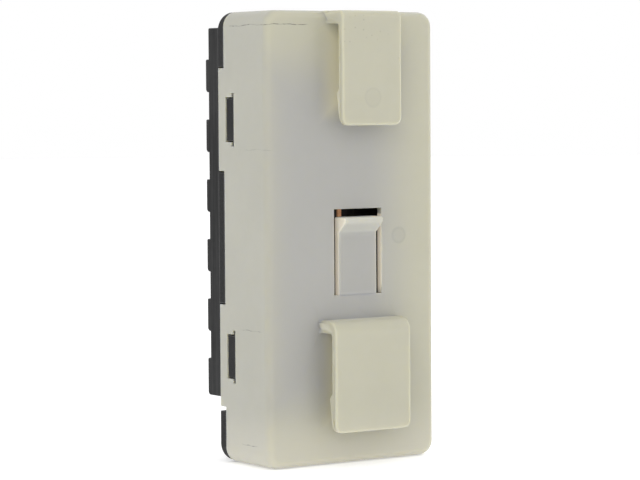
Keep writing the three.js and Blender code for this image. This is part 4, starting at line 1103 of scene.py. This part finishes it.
def choke_skins(settings):
    """The choke's spool, turned from a rounded profile, and its winding: a ring whose outer skin
    is a row of round turns, r = R - w + w sqrt(1 - s^2), that climbs one wire a turn."""
    low, high = (np.array(corner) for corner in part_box("choke_core"))
    wire_low, wire_high = (np.array(corner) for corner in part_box("choke_winding"))
    centre = (low + high) / 2
    radius, edge, spindle = (high[0] - low[0]) / 2, 0.3 * MM, 3.4 * MM
    flange = wire_low[1] - low[1] - 0.1 * MM
    bend = np.linspace(0, np.pi / 2, 5)
    rim = radius - edge + edge * np.sin(bend)
    up = edge * (1 - np.cos(bend))
    along = np.concatenate([low[1] + up, low[1] + flange - up[::-1], [low[1] + flange]])
    radii = np.concatenate([rim, rim[::-1], [spindle]])
    far = low[1] + high[1] - along[::-1]
    core = turned_rings(np.concatenate([along, far]), np.concatenate([radii, radii[::-1]]),
                        (centre[0], 0, centre[2]), 1, 96)
    wire = settings.winding_wire / 2
    outer, inner = (wire_high[0] - wire_low[0]) / 2, spindle + 0.3 * MM
    turn = np.linspace(0, 2 * np.pi, 96, endpoint=False)
    y = np.linspace(wire_low[1], wire_high[1], 73)
    beat = (np.subtract.outer(-turn / (2 * np.pi), (wire_low[1] - y) / (2 * wire)) % 1) * 2 - 1
    skin = outer - wire + wire * np.sqrt(np.clip(1 - beat**2, 0, 1))
    skin[:, [0, -1]] = outer - wire
    section_radius = np.concatenate([skin, np.full((len(turn), 2), inner)], axis=1)
    section_y = np.concatenate([y, [y[-1], y[0]]])
    winding = np.stack([centre[0] + section_radius * np.cos(turn)[:, None],
                        np.broadcast_to(section_y, section_radius.shape),
                        centre[2] + section_radius * np.sin(turn)[:, None]], axis=-1)
    return core, (winding, "loop")


class DIMMER_OT_choke(bpy.types.Operator):
    """Make the choke's spool and winding"""
    bl_idname = "dimmer.choke"
    bl_label = "Choke"

    def execute(self, context):
        core, winding = choke_skins(context.scene.dimmer_circuit)
        link("choke_spool", skins_mesh("choke_spool", [core]), "housing",
             ("choke_core",), ("ferrite",))
        link("choke_wire", skins_mesh("choke_wire", [winding]), "housing",
             ("choke_winding",), ("winding",))
        return {"FINISHED"}


def axial_piece(node, name, waist, finish, settings):
    """A two-ended component: a turned body along z with rounded caps and a waist between them,
    and a lead at each end that bends to the board. The attribute "along" runs down the body."""
    low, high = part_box(node)
    centre = np.array([(low.x + high.x) / 2, 0, (low.z + high.z) / 2])
    radius, wire = (high.x - low.x) / 2, settings.wire / 2
    centre[1] = high.y - radius - 0.5 * MM
    half = (high.z - low.z) / 2 - settings.lead
    share = np.sin(np.linspace(-np.pi / 2, np.pi / 2, 61))
    ends = np.sqrt(np.clip(1 - np.clip((np.abs(share) * half - half + 0.6 * MM) / (0.6 * MM), 0,
                                       1) ** 2, 0, 1))
    middle = smoothstep((1.7 * MM - (1 - np.abs(share)) * half) / (0.7 * MM))
    radii = radius * (waist + (1 - waist) * middle)
    body = turned_rings(share * half, np.maximum(radii * (0.55 + 0.45 * ends), wire), centre,
                        2, 40)
    leads = []
    for end in (-1, 1):
        start = centre + np.array([0, 0, end * (half - 0.3 * MM)])
        corner = centre + np.array([0, 0, end * (half + settings.lead - wire)])
        foot = np.array([corner[0], high.y, corner[2]])
        leads.append(tube_rings(bent_path([start, corner, foot], 0.7 * MM), wire, (1, 0, 0)))
    mesh = skins_mesh(name, [body, *leads])
    along = mesh.attributes.new("along", "FLOAT", "POINT")
    heights = np.zeros(len(mesh.vertices) * 3)
    mesh.vertices.foreach_get("co", heights)
    along.data.foreach_set("value", (heights[2::3] - centre[2]) / (2 * half) + 0.5)
    link(name, mesh, "housing", (node,), (finish, "tin"))
    body_faces = (body.shape[0] - 1) * body.shape[1] + 2
    numbers = np.ones(len(mesh.polygons), np.int32)
    numbers[:body_faces] = 0
    mesh.polygons.foreach_set("material_index", numbers)


class DIMMER_OT_components(bpy.types.Operator):
    """Make the capacitors, resistors, diac and fuse, and dress the triac"""
    bl_idname = "dimmer.components"
    bl_label = "Components"

    def execute(self, context):
        settings = context.scene.dimmer_circuit
        film = lens_rings(*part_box("film_capacitor"), axis=2, power=6)
        link("film_capacitor_body", skins_mesh("film", [film]), "housing",
             ("film_capacitor",), ("film",))
        disc = lens_rings(*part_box("timing_capacitor"), axis=0, power=2.6)
        link("timing_capacitor_body", skins_mesh("disc", [disc]), "housing",
             ("timing_capacitor",), ("ceramic",))
        for node in ("resistor_1", "resistor_2"):
            axial_piece(node, node.replace("resistor", "film_resistor"), 0.84,
                        "resistor", settings)
        axial_piece("diac", "trigger_diode", 0.97, "diac", settings)
        axial_piece("thermal_fuse", "cutout_fuse", 1.0, "fuse", settings)
        refined("thermal_pad", "thermal_sheet", "silicone", settings.edge, "silicone")
        refined("triac_body", "triac_case", "epoxy", 0.25 * MM, "epoxy", segments=3)
        refined("triac_tab", "triac_plate", "tin", 0.12 * MM, "tin")
        for leg in range(1, 4):
            refined(f"triac_lead_{leg}", f"triac_leg_{leg}", "tin", settings.edge,
                    "tin")
        return {"FINISHED"}


class DIMMER_OT_stage(bpy.types.Operator):
    """Set the floor, the light and the camera"""
    bl_idname = "dimmer.stage"
    bl_label = "Stage"

    def execute(self, context):
        scene, settings = context.scene, context.scene.dimmer_stage
        low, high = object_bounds()
        floor = skins_mesh("floor", [turned_rings(
            np.array([-2.0, -0.2]) * MM, np.array([3.0, 3.0]), (0, 0, low.z), 2, 96)])
        floor.materials.append(floor_finish(settings))
        placed("floor", floor)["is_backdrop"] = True
        world = bpy.data.worlds.new("Studio")
        scene.world = world
        world.use_nodes = True
        backdrop = world.node_tree.nodes["Background"]
        backdrop.inputs["Color"].default_value = (1, 1, 1, 1)
        backdrop.inputs["Strength"].default_value = 1.0
        scene.view_settings.view_transform = "Standard"
        middle = Vector(((low.x + high.x) / 2, 0, (low.z + high.z) / 2))
        for name, place, size, power in LAMPS:
            data = bpy.data.lights.new(name, "AREA")
            data.shape = "DISK"
            data.size = size
            data.energy = power
            lamp = placed(name, data)
            lamp.location = middle + Vector(place)
            lamp.rotation_euler = (-Vector(place)).to_track_quat("-Z", "Y").to_euler()
        self.set_camera(scene, settings)
        return {"FINISHED"}

    def set_camera(self, scene, settings):
        target = CAMERA_TARGET
        turn, rise, roll = settings.azimuth, settings.elevation, settings.roll
        back = Vector((math.sin(turn) * math.cos(rise), -math.cos(turn) * math.cos(rise),
                       math.sin(rise)))
        right = Vector((math.cos(turn), math.sin(turn), 0))
        up = back.cross(right)
        turned_right = math.cos(roll) * right + math.sin(roll) * up
        turned_up = math.cos(roll) * up - math.sin(roll) * right
        data = bpy.data.cameras.new("Camera")
        data.lens = settings.lens
        data.sensor_width = 36
        data.clip_start = 0.01
        camera = placed("Camera", data)
        spin = Matrix((turned_right, turned_up, back)).transposed().to_4x4()
        camera.matrix_world = Matrix.Translation(target + settings.distance * back) @ spin
        scene.camera = camera


def floor_finish(settings):
    """A pale matt floor that glows a little, so that it runs into the bright room."""
    material, tree, shader = new_material("Pale floor", 0.8, Emission_Color=(1, 1, 1, 1),
                                          Emission_Strength=0.3)
    clouds = use_group(tree, "Clouds", Scale=4.0)["Value"]
    tint = mixed(tree, clouds, settings.floor, darker(settings.floor, 0.01))
    feed(tree, shader, Base_Color=tint)
    return material


class DIMMER_PT_panel(bpy.types.Panel):
    """Buttons that build the module's looks, piece by piece"""
    bl_label = "Slide Dimmer"
    bl_idname = "DIMMER_PT_panel"
    bl_space_type = "VIEW_3D"
    bl_region_type = "UI"
    bl_category = "Dimmer"

    def draw(self, context):
        for operator in OPERATORS:
            self.layout.operator(operator.bl_idname)


SETTINGS = {
    "dimmer_cover": DimmerCoverSettings,
    "dimmer_frame": DimmerFrameSettings,
    "dimmer_slider": DimmerSliderSettings,
    "dimmer_screws": DimmerScrewSettings,
    "dimmer_circuit": DimmerCircuitSettings,
    "dimmer_stage": DimmerStageSettings,
}
OPERATORS = (
    DIMMER_OT_finishes, DIMMER_OT_cover, DIMMER_OT_tongue, DIMMER_OT_base, DIMMER_OT_heat_sink,
    DIMMER_OT_terminals, DIMMER_OT_screws, DIMMER_OT_slider, DIMMER_OT_track, DIMMER_OT_board,
    DIMMER_OT_choke, DIMMER_OT_components, DIMMER_OT_stage,
)


def register():
    for name, group in SETTINGS.items():
        bpy.utils.register_class(group)
        setattr(bpy.types.Scene, name, bpy.props.PointerProperty(type=group))
    for operator in (*OPERATORS, DIMMER_PT_panel):
        bpy.utils.register_class(operator)


def unregister():
    for operator in reversed((*OPERATORS, DIMMER_PT_panel)):
        bpy.utils.unregister_class(operator)
    for name, group in SETTINGS.items():
        delattr(bpy.types.Scene, name)
        bpy.utils.unregister_class(group)


def main():
    register()
    for operator in OPERATORS:
        getattr(bpy.ops.dimmer, operator.bl_idname.split(".")[1])()


if __name__ == "__main__":
    main()
